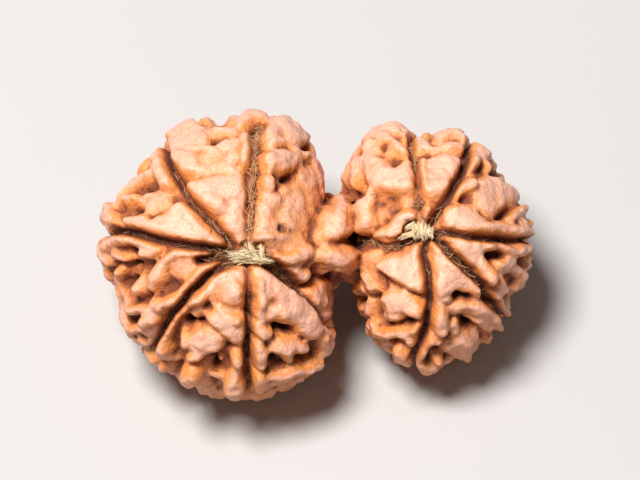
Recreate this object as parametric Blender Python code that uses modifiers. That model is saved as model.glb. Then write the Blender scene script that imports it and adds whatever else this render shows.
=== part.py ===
"""Gauri shankar rudraksha: two rudraksha stones that grew together into one.

Each stone is a ball with a stalk scar at its pole. Deep clefts run from pole to pole and part it
into lobes, and every lobe is covered with knobs, folds and pits. A short neck joins the two.
The stone is one solid. The dried stalk fibres in the two scars are a softer, paler thing, so each
is a solid of its own, set in its scar with a little room all round.

The relief of the side that the photograph shows is a list of plates, folds and pits, each laid out
in the photograph's pixels. The hidden side gets folds by a seeded rule. Sizes are in millimetres
until the last step.
"""

import itertools
import math
import random

import bmesh
import bpy
import numpy as np
from mathutils import Matrix, Vector

# Driving sizes.
LENGTH_MM = 33.0  # over both stones
PHOTO_LENGTH_PX = 440.0  # the same length in the photograph
MM_PER_PX = LENGTH_MM / PHOTO_LENGTH_PX
VIEW_TILT_DEG = 60.0  # the shown side faces this far above the horizon
VIEW_CENTRE_PX = (320, 240)
VIEW_DISTANCE_MM = 400.0  # from the eye to the view's own plane
METRES_PER_MM = 0.001

# Levels of the relief, in millimetres above the bed of the stone.
OUTLINE_LEVEL = 1.36  # where the stone's outline lies
VALLEY_LEVEL = 0.3  # the valleys between plates and folds
FOOT_LEVEL = 0.1  # where the flanks of plates and folds start
GRAIN_LEVEL = 1.0  # below this the surface is grainy
BLEND_MM = 0.2  # how softly one fold runs into the next
PLUMP_MM = 0.14  # how far the finished relief swells
CUSHION = (0.12, 0.8)  # how much higher a plate's middle is than its rim, and over what distance, in mm

# How steep the flanks are: 2 is a half round, and more is flatter on top with steeper sides.
FOLD_POWER = 2.1
FOLD_POWER_GAIN = 0.3  # for each pixel of half-width
FOLD_GAIN_PX = (6, 14)  # between these half-widths
PLATE_POWER = 2.2
PIT_POWER = 0.8
PLATE_EDGE_INSIDE = 0.8  # a plate's flank starts this share of its edge inside the line of its corners
CORNER_REACH_PX = 4.5  # how far a plate's corner keeps its own level

# Clefts.
CLEFT_BED_SHARE = 0.85  # the bed's share of a cleft's width
CLEFT_LIP_MM = 0.3  # how wide the rounded lip of a cleft is
CLEFT_END_RISE = 0.55  # a cleft that ends nearer the outline than this goes on round the back
CLEFT_END_DEG = 176.0  # and ends this far from the shown pole
CLEFT_SWING = 0.09
BACK_POINTS = 5

# Irregularity: how far, and over what distance, in mm.
VALLEYS = (0.4, 2.2)
WARP = (0.12, 1.5)
RAGGED = ((0.16, 0.9), (0.1, 0.4))  # the edges of the clefts
CLEFT_FLOOR = (0.35, 1.1)
LUMPS = ((0.18, 1.9), (0.26, 0.95), (0.26, 0.5))
GRAIN = ((0.26, 0.75), (0.2, 0.42))  # in the hollows alone
WRINKLES = (0.14, 1.3)
WRINKLE_WIDTH = 0.16  # as a share of the noise's height

# Folds of the hidden side: half-widths and half-lengths (of the radius), crests in mm.
HIDDEN_TRIES = 6000
HIDDEN_LARGE_TRIES = 2500
HIDDEN_RISE = 0.1  # how far towards the viewer they may lie, of the half depth
HIDDEN_LARGE_MM = (0.75, 1.1)
HIDDEN_SMALL_MM = (0.4, 0.7)
HIDDEN_LENGTHS = (0.01, 0.14)
HIDDEN_CREST = 1.6
HIDDEN_RIM_CREST = 1.4  # near the outline
HIDDEN_RIM = -0.2
HIDDEN_CREST_SPAN = 0.6
HIDDEN_SPACING = 0.8  # of the half-widths

MOST_REACH = 0.975  # how near to a stone's outline, as a share of its radius, a feature may lie
SEEN_DEPTH = 0.3  # how much the view's depth counts in the sizes of folds and pits
NOTCH_DEPTH = 0.15  # and of notches

# The mesh.
SPHERE_STEPS = 7
VOXEL_MM = 0.2
SMOOTH_PASSES = 2
STONE_TRIANGLES = 10500
FIBRE_TRIANGLES = 500

# Where the stone rests: this much is worn off its lowest knobs.
REST_CUT_MM = 0.8

# The stalk fibres and the room round them.
SCAR_GAP_MM = 0.3
STRAND_FLATNESS = 0.85
SCAR_STEPS = 3
SCAR_VOXEL_MM = 0.15
STRAND_STEPS = 4
STRAND_VOXEL_MM = 0.07
STRAND_SMOOTH_PASSES = 3

# Each stone: its centre and its outline's distance from it (pixels) every 20 degrees, turning left
# from the right-hand side; the depth of its centre and half its depth (mm); and its pole (pixels).
STONES = {
    "left": {
        "centre": (217, 254),
        "outline": (118, 119, 134, 151, 143, 134, 121, 114, 121,
                    119, 108, 120, 126, 138, 150, 156, 151, 120),
        "depth": 0.0,
        "half_depth": 9.6,
        "pole": (252, 256),
        "seed": 3,
    },
    "right": {
        "centre": (438, 248),
        "outline": (96, 98, 93, 105, 118, 119, 137, 122, 105,
                    98, 92, 101, 118, 126, 114, 107, 96, 96),
        "depth": -1.6,
        "half_depth": 8.5,
        "pole": (418, 230),
        "seed": 8,
    },
    "neck": {
        "centre": (331, 243),
        "outline": (37, 35, 38, 44, 48, 50, 52, 58, 68,
                    72, 68, 58, 50, 48, 47, 43, 39, 37),
        "depth": -1.0,
        "half_depth": 7.0,
        "pole": None,
        "seed": 5,
    },
}

# Stalk fibres: (x, y) of each end of a strand and its half-width, in pixels, and its level in mm.
STRANDS = {
    "left": (
        ((233, 255), (250, 257), 3.6, 0.9),
        ((236, 260), (250, 261), 3.0, 0.75),
        ((250, 248), (256, 257), 6.0, 0.85),
        ((252, 261), (272, 262), 3.0, 0.95),
        ((264, 247), (266, 258), 2.8, 0.85),
        ((242, 253), (264, 255), 4.2, 0.7),
    ),
    "right": (
        ((415, 227), (416, 233), 5.0, 0.9),
        ((422, 226), (423, 233), 5.5, 0.95),
        ((429, 229), (429, 233), 4.2, 0.85),
        ((396, 236), (413, 233), 2.6, 0.85),
        ((404, 226), (413, 223), 2.6, 0.8),
    ),
}

# Clefts: half-width in pixels, level of the bottom in mm, then points from the pole outwards.
CLEFTS = {
    "left": (
        (3.4, 0.8, ((252, 243), (252, 215), (253, 190), (255, 165), (257, 140), (262, 126), (268, 114))),
        (2.0, -0.6, ((236, 244), (222, 231), (205, 214), (188, 199), (179, 183), (171, 167), (166, 152),
                     (164, 143))),
        (3.0, -0.9, ((238, 252), (215, 249), (195, 246), (175, 243), (155, 239), (135, 233), (112, 229))),
        (3.0, -0.9, ((236, 256), (215, 258), (197, 261))),
        (2.2, -0.9, ((236, 263), (222, 269), (204, 278), (190, 293), (174, 312), (161, 332), (150, 353))),
        (1.4, -0.2, ((251, 266), (250, 280), (250, 300))),
        (2.2, -0.9, ((250, 298), (249, 315), (249, 340), (247, 365), (249, 396))),
        (5.4, -0.9, ((269, 263), (279, 268), (292, 279), (299, 286))),
        (2.6, -0.9, ((298, 285), (307, 296), (316, 308), (327, 322))),
    ),
    "right": (
        (2.2, 0.3, ((420, 217), (417, 204), (419, 185), (417, 166), (412, 150), (410, 136))),
        (2.6, -0.9, ((430, 219), (441, 204), (450, 193), (457, 180), (465, 167), (468, 152), (468, 140))),
        (2.0, -0.9, ((436, 229), (455, 233), (472, 237), (490, 239), (512, 240), (533, 239))),
        (3.0, -0.9, ((433, 235), (444, 244), (452, 256), (466, 269), (482, 284), (492, 301), (505, 322))),
        (2.2, -0.9, ((424, 240), (422, 256), (427, 275), (430, 296), (427, 316), (424, 338), (411, 360))),
        (3.0, -0.6, ((414, 238), (400, 242), (386, 248))),
        (3.0, 0.25, ((388, 248), (370, 244), (352, 239), (338, 243))),
    ),
    "neck": (
        (2.2, 0.35, ((372, 246), (352, 239), (342, 242), (332, 243))),
    ),
}

# Plates: edge in pixels, then the corners as (x, y, level in mm).
PLATES = {
    "left": (
        # between the top cleft and the upper left one
        (6, ((167, 134, 1.6), (176, 125, 1.6), (190, 121, 1.65), (202, 127, 1.6), (206, 137, 1.5),
             (205, 145, 1.35), (196, 148, 1.3), (184, 147, 1.45), (171, 145, 1.5))),
        (5, ((169, 147, 1.45), (180, 151, 1.5), (192, 153, 1.45), (200, 160, 1.3), (197, 171, 1.3),
             (184, 171, 1.55), (176, 164, 1.55))),
        (5, ((200, 150, 1.25), (214, 153, 1.25), (228, 157, 1.15), (236, 166, 1.15), (240, 172, 1.1),
             (226, 175, 1.05), (208, 175, 1.05), (197, 171, 1.15))),
        (4, ((213, 147, 1.2), (224, 140, 1.3), (235, 136, 1.35), (238, 158, 1.2), (226, 160, 1.15),
             (214, 155, 1.2))),
        (5, ((186, 184, 1.55), (198, 180, 1.4), (222, 177, 1.25), (240, 176, 1.3), (243, 186, 1.45),
             (243, 204, 1.35), (241, 213, 1.1), (231, 214, 1.15), (216, 211, 1.55), (206, 203, 1.65),
             (196, 194, 1.65))),
        (4, ((222, 217, 1.1), (232, 215, 1.15), (242, 214, 1.15), (246, 222, 1.05), (246, 240, 0.8),
             (240, 242, 0.8), (231, 233, 0.9), (226, 225, 1.05))),
        # between the upper left cleft and the left one
        (4, ((144, 191, 1.15), (156, 189, 1.2), (164, 196, 1.1), (167, 205, 1.0), (161, 212, 1.05),
             (149, 212, 1.15), (142, 205, 1.15), (140, 197, 1.1))),
        (5, ((121, 219, 1.35), (135, 215, 1.4), (150, 217, 1.25), (163, 213, 1.3), (172, 206, 1.4),
             (178, 203, 1.5), (190, 214, 1.55), (203, 228, 1.45), (215, 238, 1.2), (231, 250, 0.75),
             (221, 252, 0.8), (205, 246, 1.1), (192, 240, 1.25), (178, 236, 1.55), (168, 234, 1.55),
             (150, 231, 1.5), (130, 226, 1.4))),
        # between the left cleft and the lower left one
        (4, ((172, 260, 1.1), (190, 258, 1.05), (203, 256, 0.9), (212, 258, 0.8), (190, 268, 1.0),
             (184, 278, 1.0), (176, 280, 0.95), (168, 274, 1.0), (164, 266, 1.1))),
        (4, ((150, 301, 1.5), (161, 302, 1.45), (160, 313, 1.35), (150, 316, 1.3))),
        # between the lower left cleft and the bottom one
        (5, ((196, 308, 0.8), (212, 304, 0.9), (226, 312, 1.0), (218, 326, 0.7), (204, 319, 0.5),
             (190, 318, 0.5))),
        (5, ((228, 272, 0.9), (245, 270, 0.9), (244, 290, 1.1), (243, 306, 1.0), (234, 312, 1.0),
             (222, 308, 0.95), (208, 300, 1.0), (216, 286, 1.0))),
        (4, ((221, 284, 1.5), (234, 282, 1.55), (240, 288, 1.6), (240, 301, 1.55), (232, 305, 1.45),
             (223, 299, 1.45))),
        (5, ((205, 314, 1.0), (214, 311, 1.2), (227, 314, 1.5), (240, 318, 1.65), (242, 330, 1.5),
             (241, 347, 1.2), (232, 342, 1.3), (222, 333, 1.4), (212, 325, 1.25))),
        (4, ((181, 337, 1.35), (188, 341, 1.3), (198, 334, 1.25), (212, 334, 1.2), (221, 342, 1.25),
             (218, 352, 1.15), (206, 355, 1.2), (196, 354, 1.3), (188, 351, 1.1), (182, 348, 1.35))),
        # between the bottom cleft and the lower right one
        (5, ((258, 280, 1.45), (268, 279, 1.3), (280, 281, 1.3), (294, 294, 1.45), (307, 308, 1.5),
             (317, 321, 1.6), (322, 333, 1.6), (314, 338, 1.55), (305, 334, 1.45), (298, 324, 1.3),
             (286, 322, 1.35), (272, 321, 1.1), (267, 311, 1.3), (258, 308, 1.5))),
        (4, ((256, 268, 0.9), (266, 266, 0.85), (278, 276, 1.0), (268, 280, 1.0), (257, 279, 1.0))),
        (4, ((272, 343, 1.0), (292, 341, 0.95), (308, 344, 1.15), (312, 352, 1.3), (303, 355, 1.3),
             (296, 352, 1.2), (285, 355, 1.35), (274, 352, 1.2))),
        # between the top cleft and the lower right one
        (6, ((270, 124, 1.5), (280, 119, 1.4), (291, 122, 1.4), (300, 130, 1.45), (307, 135, 1.5),
             (306, 142, 1.4), (296, 145, 1.3), (286, 141, 1.3), (272, 145, 1.35), (266, 136, 1.4))),
        (6, ((265, 154, 1.65), (276, 151, 1.65), (288, 152, 1.5), (298, 154, 1.35), (303, 161, 1.25),
             (294, 167, 1.25), (282, 169, 1.55), (270, 168, 1.65))),
        (5, ((265, 192, 1.2), (284, 190, 1.1), (297, 180, 1.0), (308, 164, 1.15), (318, 158, 1.35),
             (321, 170, 1.35), (324, 186, 1.3), (326, 202, 1.3), (328, 215, 1.3), (326, 240, 1.25),
             (318, 262, 1.2), (306, 270, 1.1), (296, 262, 1.2), (290, 255, 1.1), (284, 247, 1.0),
             (270, 240, 1.1), (262, 236, 1.0), (263, 215, 1.0))),
        (4, ((313, 292, 1.5), (321, 284, 1.5), (330, 281, 1.4), (332, 291, 1.3), (332, 303, 1.35),
             (326, 307, 1.35), (318, 303, 1.45))),
    ),
    "right": (
        # left of the top cleft
        (6, ((356, 157, 1.35), (366, 154, 1.4), (378, 157, 1.4), (387, 165, 1.35), (395, 169, 1.35),
             (402, 164, 1.35), (407, 157, 1.35), (411, 162, 1.4), (413, 174, 1.6), (412, 187, 1.65),
             (404, 190, 1.65), (388, 189, 1.65), (373, 189, 1.65), (369, 182, 1.5), (366, 174, 1.35),
             (358, 168, 1.25))),
        (4, ((372, 236, 1.4), (382, 229, 1.3), (390, 224, 1.25), (394, 215, 1.25), (403, 211, 1.3),
             (414, 212, 1.2), (415, 216, 1.1), (403, 221, 1.05), (398, 229, 1.15), (400, 235, 1.35),
             (388, 237, 1.5))),
        (5, ((374, 194, 0.85), (410, 195, 0.8), (411, 206, 0.6), (398, 212, 0.7), (388, 222, 0.7),
             (375, 231, 0.8))),
        (5, ((373, 143, 1.0), (392, 141, 0.9), (401, 150, 1.1), (397, 158, 0.9), (387, 161, 0.8),
             (377, 155, 0.9))),
        # right of the top cleft
        (5, ((414, 134, 1.4), (424, 138, 1.4), (430, 146, 1.3), (418, 150, 1.2))),
        (6, ((427, 160, 1.35), (436, 155, 1.25), (448, 153, 1.3), (459, 155, 1.35), (462, 163, 1.35),
             (453, 171, 1.35), (449, 178, 1.3), (450, 187, 1.5), (444, 193, 1.55), (430, 193, 1.55),
             (427, 178, 1.4))),
        # between the upper right cleft and the right one
        (3, ((474, 168, 0.7), (486, 168, 0.7), (486, 175, 0.7), (474, 175, 0.7))),
        (5, ((483, 181, 1.3), (492, 176, 1.45), (500, 184, 1.5), (509, 189, 1.55), (519, 194, 1.6),
             (520, 199, 1.55), (509, 201, 1.4), (500, 205, 1.25), (492, 212, 1.1), (486, 213, 1.0),
             (480, 206, 1.0), (479, 194, 1.1))),
        (5, ((450, 208, 1.05), (460, 206, 1.15), (470, 205, 1.1), (482, 209, 1.05), (486, 218, 1.2),
             (480, 226, 1.4), (466, 227, 1.4), (453, 227, 1.2), (446, 222, 1.0))),
        # between the right cleft and the lower right one
        (4, ((452, 236, 1.0), (466, 240, 1.3), (480, 243, 1.45), (490, 246, 1.4), (484, 252, 1.25),
             (477, 257, 1.2), (481, 265, 1.25), (475, 265, 1.1), (466, 256, 1.1), (457, 246, 1.0))),
        (5, ((502, 266, 1.0), (508, 258, 1.1), (517, 255, 1.2), (519, 263, 1.15), (513, 271, 1.0),
             (505, 273, 0.95))),
        # between the lower right cleft and the bottom one
        (5, ((433, 244, 1.0), (439, 244, 1.1), (447, 257, 1.3), (458, 269, 1.5), (472, 279, 1.6),
             (481, 289, 1.65), (480, 297, 1.6), (470, 293, 1.4), (458, 288, 1.3), (451, 292, 1.4),
             (449, 302, 1.45), (437, 303, 1.4), (435, 288, 1.45), (436, 272, 1.1), (434, 256, 0.9))),
        (4, ((452, 306, 1.05), (470, 303, 1.2), (482, 305, 1.35), (491, 314, 1.45), (484, 318, 1.2),
             (468, 315, 0.95), (453, 316, 0.95))),
        (6, ((452, 344, 1.3), (460, 338, 1.3), (469, 340, 1.5), (473, 349, 1.65), (467, 357, 1.6),
             (454, 357, 1.4), (448, 351, 1.3))),
        # left of the bottom cleft
        (5, ((378, 265, 1.55), (387, 261, 1.4), (398, 261, 1.25), (407, 257, 1.1), (412, 249, 1.0),
             (418, 246, 1.0), (418, 258, 1.2), (420, 272, 1.4), (424, 286, 1.6), (419, 290, 1.6),
             (407, 286, 1.55), (394, 279, 1.55), (382, 271, 1.55))),
        (4, ((384, 284, 0.85), (398, 288, 0.9), (414, 294, 0.85), (404, 296, 0.95), (390, 293, 1.1))),
        (5, ((382, 297, 1.5), (392, 294, 1.4), (402, 293, 1.3), (412, 301, 1.45), (423, 311, 1.65),
             (421, 316, 1.6), (411, 314, 1.5), (400, 311, 1.5), (390, 312, 1.5), (382, 308, 1.5))),
        # towards the neck
        (5, ((345, 252, 1.3), (360, 254, 1.2), (374, 256, 1.1), (376, 272, 1.1), (376, 288, 1.2),
             (364, 292, 1.4), (355, 293, 1.4), (350, 278, 1.2), (345, 266, 1.2))),
    ),
    "neck": (
        (6, ((303, 208, 1.1), (318, 210, 1.15), (328, 204, 1.3), (336, 197, 1.4), (345, 194, 1.45),
             (351, 204, 1.5), (352, 220, 1.5), (350, 233, 1.4), (342, 239, 1.35), (330, 240, 1.25),
             (316, 243, 1.2), (300, 245, 1.2), (297, 226, 1.15))),
        (5, ((300, 252, 1.4), (318, 250, 1.3), (335, 251, 1.3), (350, 252, 1.3), (366, 252, 1.2),
             (373, 262, 1.2), (373, 280, 1.3), (364, 288, 1.4), (354, 284, 1.35), (346, 272, 1.25),
             (332, 271, 1.2), (318, 278, 1.1), (303, 281, 1.05))),
    ),
}

# Folds and knobs: points of (x, y, half-width in pixels, crest level in mm).
FOLDS = {
    "left": (
        # between the top cleft and the upper left one
        ((190, 148, 5, 1.45), (202, 146, 5, 1.5), (213, 150, 5, 1.4), (223, 157, 4, 1.25)),
        ((214, 131, 6, 1.5), (224, 130, 6.5, 1.6), (233, 131, 6, 1.5)),
        ((244, 136, 6, 1.5), (244, 148, 6, 1.65), (244, 161, 6, 1.6)),
        # between the upper left cleft and the left one
        ((162, 147, 6, 1.45), (156, 158, 7.5, 1.5), (160, 170, 8, 1.65), (166, 182, 9.5, 1.75)),
        ((150, 173, 7, 1.35), (138, 178, 7, 1.4), (127, 186, 6.5, 1.4), (119, 195, 6, 1.35),
         (114, 203, 5, 1.3)),
        ((126, 199, 4.5, 1.5), (136, 198, 4.5, 1.45), (144, 200, 4, 1.2)),
        ((107, 209, 7, 1.55), (109, 216, 8, 1.65), (111, 224, 7, 1.5)),
        # between the left cleft and the lower left one
        ((154, 249, 7, 1.5), (144, 243, 6, 1.45), (130, 239, 6, 1.45), (117, 239, 7, 1.5),
         (106, 244, 7, 1.55), (101, 254, 6.5, 1.5), (105, 264, 6, 1.3)),
        ((141, 253, 5, 1.3), (150, 254, 6, 1.45)),
        ((112, 256, 5, 1.4), (124, 259, 4, 1.3)),
        ((117, 273, 5, 1.4), (116, 281, 5, 1.35), (119, 292, 5, 1.15), (123, 300, 6, 1.0)),
        ((139, 280, 5, 1.2), (137, 289, 7.5, 1.65)),
        ((160, 268, 7, 1.4), (156, 276, 9, 1.65), (150, 286, 7, 1.4)),
        ((216, 253, 2, 0.9), (195, 253, 4, 1.3), (175, 254, 5, 1.4), (166, 260, 5, 1.3),
         (160, 267, 6, 1.3)),
        ((220, 264, 3, 1.0), (206, 267, 5, 1.35), (197, 275, 6, 1.45), (190, 287, 6, 1.5),
         (178, 297, 6, 1.5), (164, 303, 6, 1.5)),
        ((151, 305, 6, 1.45), (157, 307, 7, 1.55)),
        ((152, 320, 7, 1.5), (144, 323, 8, 1.7)),
        ((147, 311, 4, 1.3), (137, 309, 4.5, 1.4), (127, 311, 5, 1.45)),
        ((125, 302, 6, 1.0), (121, 312, 6, 1.3), (120, 322, 6, 1.3), (127, 330, 5, 1.3),
         (138, 331, 4, 1.2)),
        ((127, 336, 5, 1.25), (134, 346, 6, 1.2), (144, 352, 7, 1.1), (151, 344, 7, 0.9)),
        ((143, 336, 7, 1.1), (152, 333, 6, 1.0)),
        # between the lower left cleft and the bottom one
        ((234, 268, 4, 0.85), (223, 276, 5, 1.05), (210, 289, 6, 1.2), (199, 300, 6, 1.4),
         (186, 304, 6, 1.5), (174, 315, 5.5, 1.55), (167, 329, 5, 1.5), (162, 342, 6, 1.55),
         (162, 350, 8, 1.7)),
        ((214, 305, 4, 1.1), (224, 313, 5, 1.45), (236, 322, 6, 1.7)),
        ((190, 359, 5.5, 1.45), (197, 358, 6, 1.45)),
        ((189, 377, 10.5, 1.95), (192, 376, 10.5, 1.95)),
        ((210, 384, 7, 0.8), (221, 382, 6, 0.8)),
        ((217, 363, 3.5, 1.0), (218, 365, 3.5, 1.0)),
        ((237, 357, 7, 1.45), (237, 365, 6.5, 1.55), (236, 373, 4.5, 1.3), (233, 382, 9, 1.75),
         (234, 389, 11, 1.95)),
        ((158, 361, 6, 0.9), (170, 364, 6, 0.8)),
        # between the bottom cleft and the lower right one
        ((261, 284, 6, 1.55), (261, 296, 7, 1.7), (262, 306, 7, 1.65)),
        ((261, 314, 7, 1.4), (263, 322, 6, 1.3)),
        ((272, 278, 5, 1.2), (286, 288, 6, 1.4), (300, 302, 7, 1.5), (312, 317, 7, 1.6),
         (317, 329, 7, 1.7)),
        ((284, 314, 8, 1.6), (289, 314, 7, 1.5)),
        ((258, 328, 6, 1.3), (264, 335, 7, 1.55), (268, 334, 6, 1.45)),
        ((258, 348, 7, 1.4), (261, 356, 8, 1.6), (262, 366, 7, 1.45)),
        ((260, 380, 7, 1.5), (261, 387, 8, 1.5)),
        ((287, 352, 7, 1.45), (291, 361, 5, 1.35)),
        ((302, 350, 6, 1.4), (308, 351, 5, 1.35)),
        ((272, 379, 5, 1.4), (284, 378, 6, 1.45), (294, 373, 6.5, 1.55), (306, 369, 7, 1.65),
         (319, 365, 7, 1.6)),
        ((324, 329, 5, 1.45), (333, 339, 6, 1.6), (335, 350, 6, 1.5), (325, 354, 6, 1.35)),
        ((325, 338, 6, 1.6), (326, 346, 6, 1.45)),
        ((265, 393, 7, 0.9), (280, 388, 7, 0.9), (295, 384, 6, 0.8)),
        # between the top cleft and the lower right one
        ((271, 123, 5, 1.6), (280, 119, 5, 1.45), (291, 123, 5, 1.45), (300, 131, 5, 1.5),
         (306, 136, 5, 1.5)),
        ((269, 160, 8, 1.8), (280, 161, 8, 1.65)),
        ((296, 148, 4, 1.3), (302, 152, 5, 1.4), (309, 155, 6, 1.45)),
        ((269, 180, 7.5, 1.6), (270, 187, 7, 1.5)),
        ((267, 198, 6, 1.4), (278, 199, 6, 1.4)),
        ((316, 158, 7, 1.5), (319, 173, 7, 1.5), (321, 188, 7, 1.45), (322, 200, 6, 1.35)),
        ((258, 237, 5, 1.25), (272, 235, 5, 1.35), (288, 236, 5, 1.3), (302, 241, 6, 1.3)),
        ((280, 258, 5, 1.3), (293, 258, 7, 1.45), (306, 252, 9, 1.65)),
        ((296, 272, 7, 1.3), (306, 275, 8, 1.45)),
        ((336, 296, 4, 1.1), (336, 306, 5, 1.25), (333, 314, 6, 1.35)),
    ),
    "right": (
        # left of the top cleft
        ((355, 158, 5, 1.45), (354, 170, 5, 1.55), (353, 185, 5, 1.45)),
        ((346, 164, 5, 1.0), (344, 176, 5, 1.0), (346, 184, 5, 0.9)),
        ((371, 190, 5, 1.5), (366, 201, 6, 1.5), (360, 212, 12, 1.8), (360, 221, 13, 1.9)),
        ((375, 131, 7, 1.6), (369, 139, 7, 1.5), (365, 148, 6, 1.4)),
        ((381, 137, 5, 1.5), (385, 129, 6, 1.6), (394, 125, 7, 1.7), (404, 129, 6, 1.6),
         (408, 138, 5, 1.45)),
        ((384, 133, 6, 1.5), (390, 138, 5, 1.4)),
        ((391, 137, 5, 1.4), (397, 147, 6, 1.55), (406, 154, 6, 1.4)),
        ((373, 146, 6, 1.2), (371, 152, 5, 1.2)),
        ((377, 242, 5, 1.0), (385, 243, 5.5, 1.1), (392, 241, 4, 0.9)),
        # right of the top cleft
        ((414, 137, 6, 1.45), (423, 142, 6, 1.45), (432, 148, 5, 1.3)),
        ((438, 139, 6, 1.45), (447, 135, 6, 1.6), (458, 135, 7, 1.7), (464, 142, 5, 1.55)),
        ((436, 147, 5, 1.25), (450, 145, 5, 1.4), (463, 147, 5, 1.35)),
        ((423, 161, 4.5, 1.55), (424, 176, 4.5, 1.55), (426, 189, 5, 1.55)),
        ((427, 207, 5.5, 1.15), (428, 214, 5.5, 1.1)),
        # between the upper right cleft and the right one
        ((474, 143, 6, 1.5), (482, 145, 7, 1.6), (487, 152, 7, 1.65), (482, 157, 6, 1.5)),
        ((474, 151, 5, 1.4), (475, 160, 7, 1.6), (472, 166, 5, 1.4)),
        ((487, 163, 4, 1.35), (490, 168, 4, 1.4)),
        ((473, 183, 7, 1.65), (466, 187, 6, 1.4), (461, 193, 5, 1.1)),
        ((495, 179, 5, 1.5), (503, 189, 7, 1.65), (516, 196, 6, 1.65)),
        ((468, 227, 5, 1.4), (484, 226, 6, 1.5), (500, 228, 7, 1.5), (516, 231, 7, 1.55),
         (530, 232, 6, 1.6)),
        ((495, 221, 4, 1.2), (506, 223, 4, 1.25)),
        ((512, 217, 5, 1.35), (519, 212, 5.5, 1.5), (526, 207, 6, 1.65)),
        ((523, 221, 5, 1.4), (525, 223, 5, 1.4)),
        # between the right cleft and the lower right one
        ((450, 236, 4, 0.95), (464, 240, 5, 1.35), (478, 243, 5, 1.5), (492, 246, 5, 1.5),
         (503, 246, 4, 1.35), (514, 251, 5, 1.4), (524, 250, 7, 1.6), (530, 247, 6, 1.6)),
        ((482, 256, 5, 1.3), (485, 266, 7, 1.5), (490, 277, 8.5, 1.8)),
        ((518, 271, 5, 1.2), (525, 276, 6, 1.4), (525, 286, 6, 1.35), (517, 293, 5, 1.2)),
        ((503, 284, 6, 1.35), (507, 292, 5, 1.25), (500, 292, 5, 1.3)),
        ((498, 298, 5, 1.3), (503, 306, 4.5, 1.35), (507, 314, 5.5, 1.55)),
        # between the lower right cleft and the bottom one
        ((441, 252, 4, 1.2), (451, 264, 6, 1.45), (464, 276, 7, 1.65), (476, 288, 8, 1.75)),
        ((442, 276, 7, 1.4), (443, 287, 8, 1.65), (443, 298, 7, 1.55)),
        ((441, 312, 8, 1.55), (441, 322, 8.5, 1.75), (441, 329, 8, 1.75)),
        ((453, 308, 5, 1.1), (466, 306, 5, 1.3), (480, 308, 5, 1.45), (490, 315, 6, 1.5),
         (498, 323, 7, 1.6), (503, 329, 8, 1.8)),
        ((470, 322, 4, 0.9), (482, 322, 4, 1.2), (490, 330, 5, 1.3)),
        ((455, 326, 5, 1.3), (456, 336, 5, 1.3)),
        ((479, 343, 5, 1.1), (477, 336, 4, 0.8)),
        ((439, 343, 5, 1.45), (430, 341, 6, 1.5), (424, 348, 6, 1.5), (421, 357, 5, 1.4),
         (417, 365, 5, 1.4), (424, 371, 5, 1.5), (434, 370, 5, 1.6), (438, 361, 5, 1.5)),
        # left of the bottom cleft
        ((380, 266, 5, 1.65), (394, 274, 5, 1.65), (408, 282, 6, 1.65), (420, 288, 6, 1.7)),
        ((367, 303, 5, 1.25), (367, 312, 5.5, 1.45)),
        ((386, 317, 7, 1.45), (396, 317, 6, 1.25)),
        ((371, 324, 6, 1.3), (373, 332, 6, 1.4), (385, 335, 6, 1.35), (397, 334, 6, 1.4),
         (409, 336, 7, 1.35), (415, 327, 5, 1.3)),
        ((409, 342, 7, 1.3), (411, 348, 5, 1.1)),
        ((397, 354, 7, 1.45), (402, 359, 7.5, 1.6)),
        ((376, 346, 6, 0.8), (386, 350, 5, 0.7)),
        # towards the neck
        ((363, 256, 4.5, 1.35), (365, 272, 6, 1.5), (369, 286, 7, 1.65)),
        ((353, 278, 5, 1.35), (356, 290, 6, 1.55)),
    ),
    "neck": (
        ((343, 201, 8, 1.6), (341, 213, 10, 1.75), (339, 227, 10, 1.65)),
        ((350, 206, 8, 1.5), (350, 218, 9, 1.5), (349, 229, 7, 1.5)),
        ((308, 254, 9, 1.6), (325, 257, 8, 1.45), (341, 260, 9, 1.6)),
        ((353, 262, 5, 1.45), (355, 278, 6, 1.5), (357, 288, 6, 1.5)),
        ((364, 256, 5, 1.4), (366, 270, 6, 1.5), (369, 284, 7, 1.6)),
    ),
}

# Folds that lie over a cleft: points as for the other folds.
BRIDGES = {
    "left": (
        ((241, 123, 8, 1.6), (250, 116, 9, 1.75), (260, 112, 8, 1.7), (264, 117, 6.5, 1.6)),
    ),
    "right": (),
    "neck": (),
}

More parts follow.
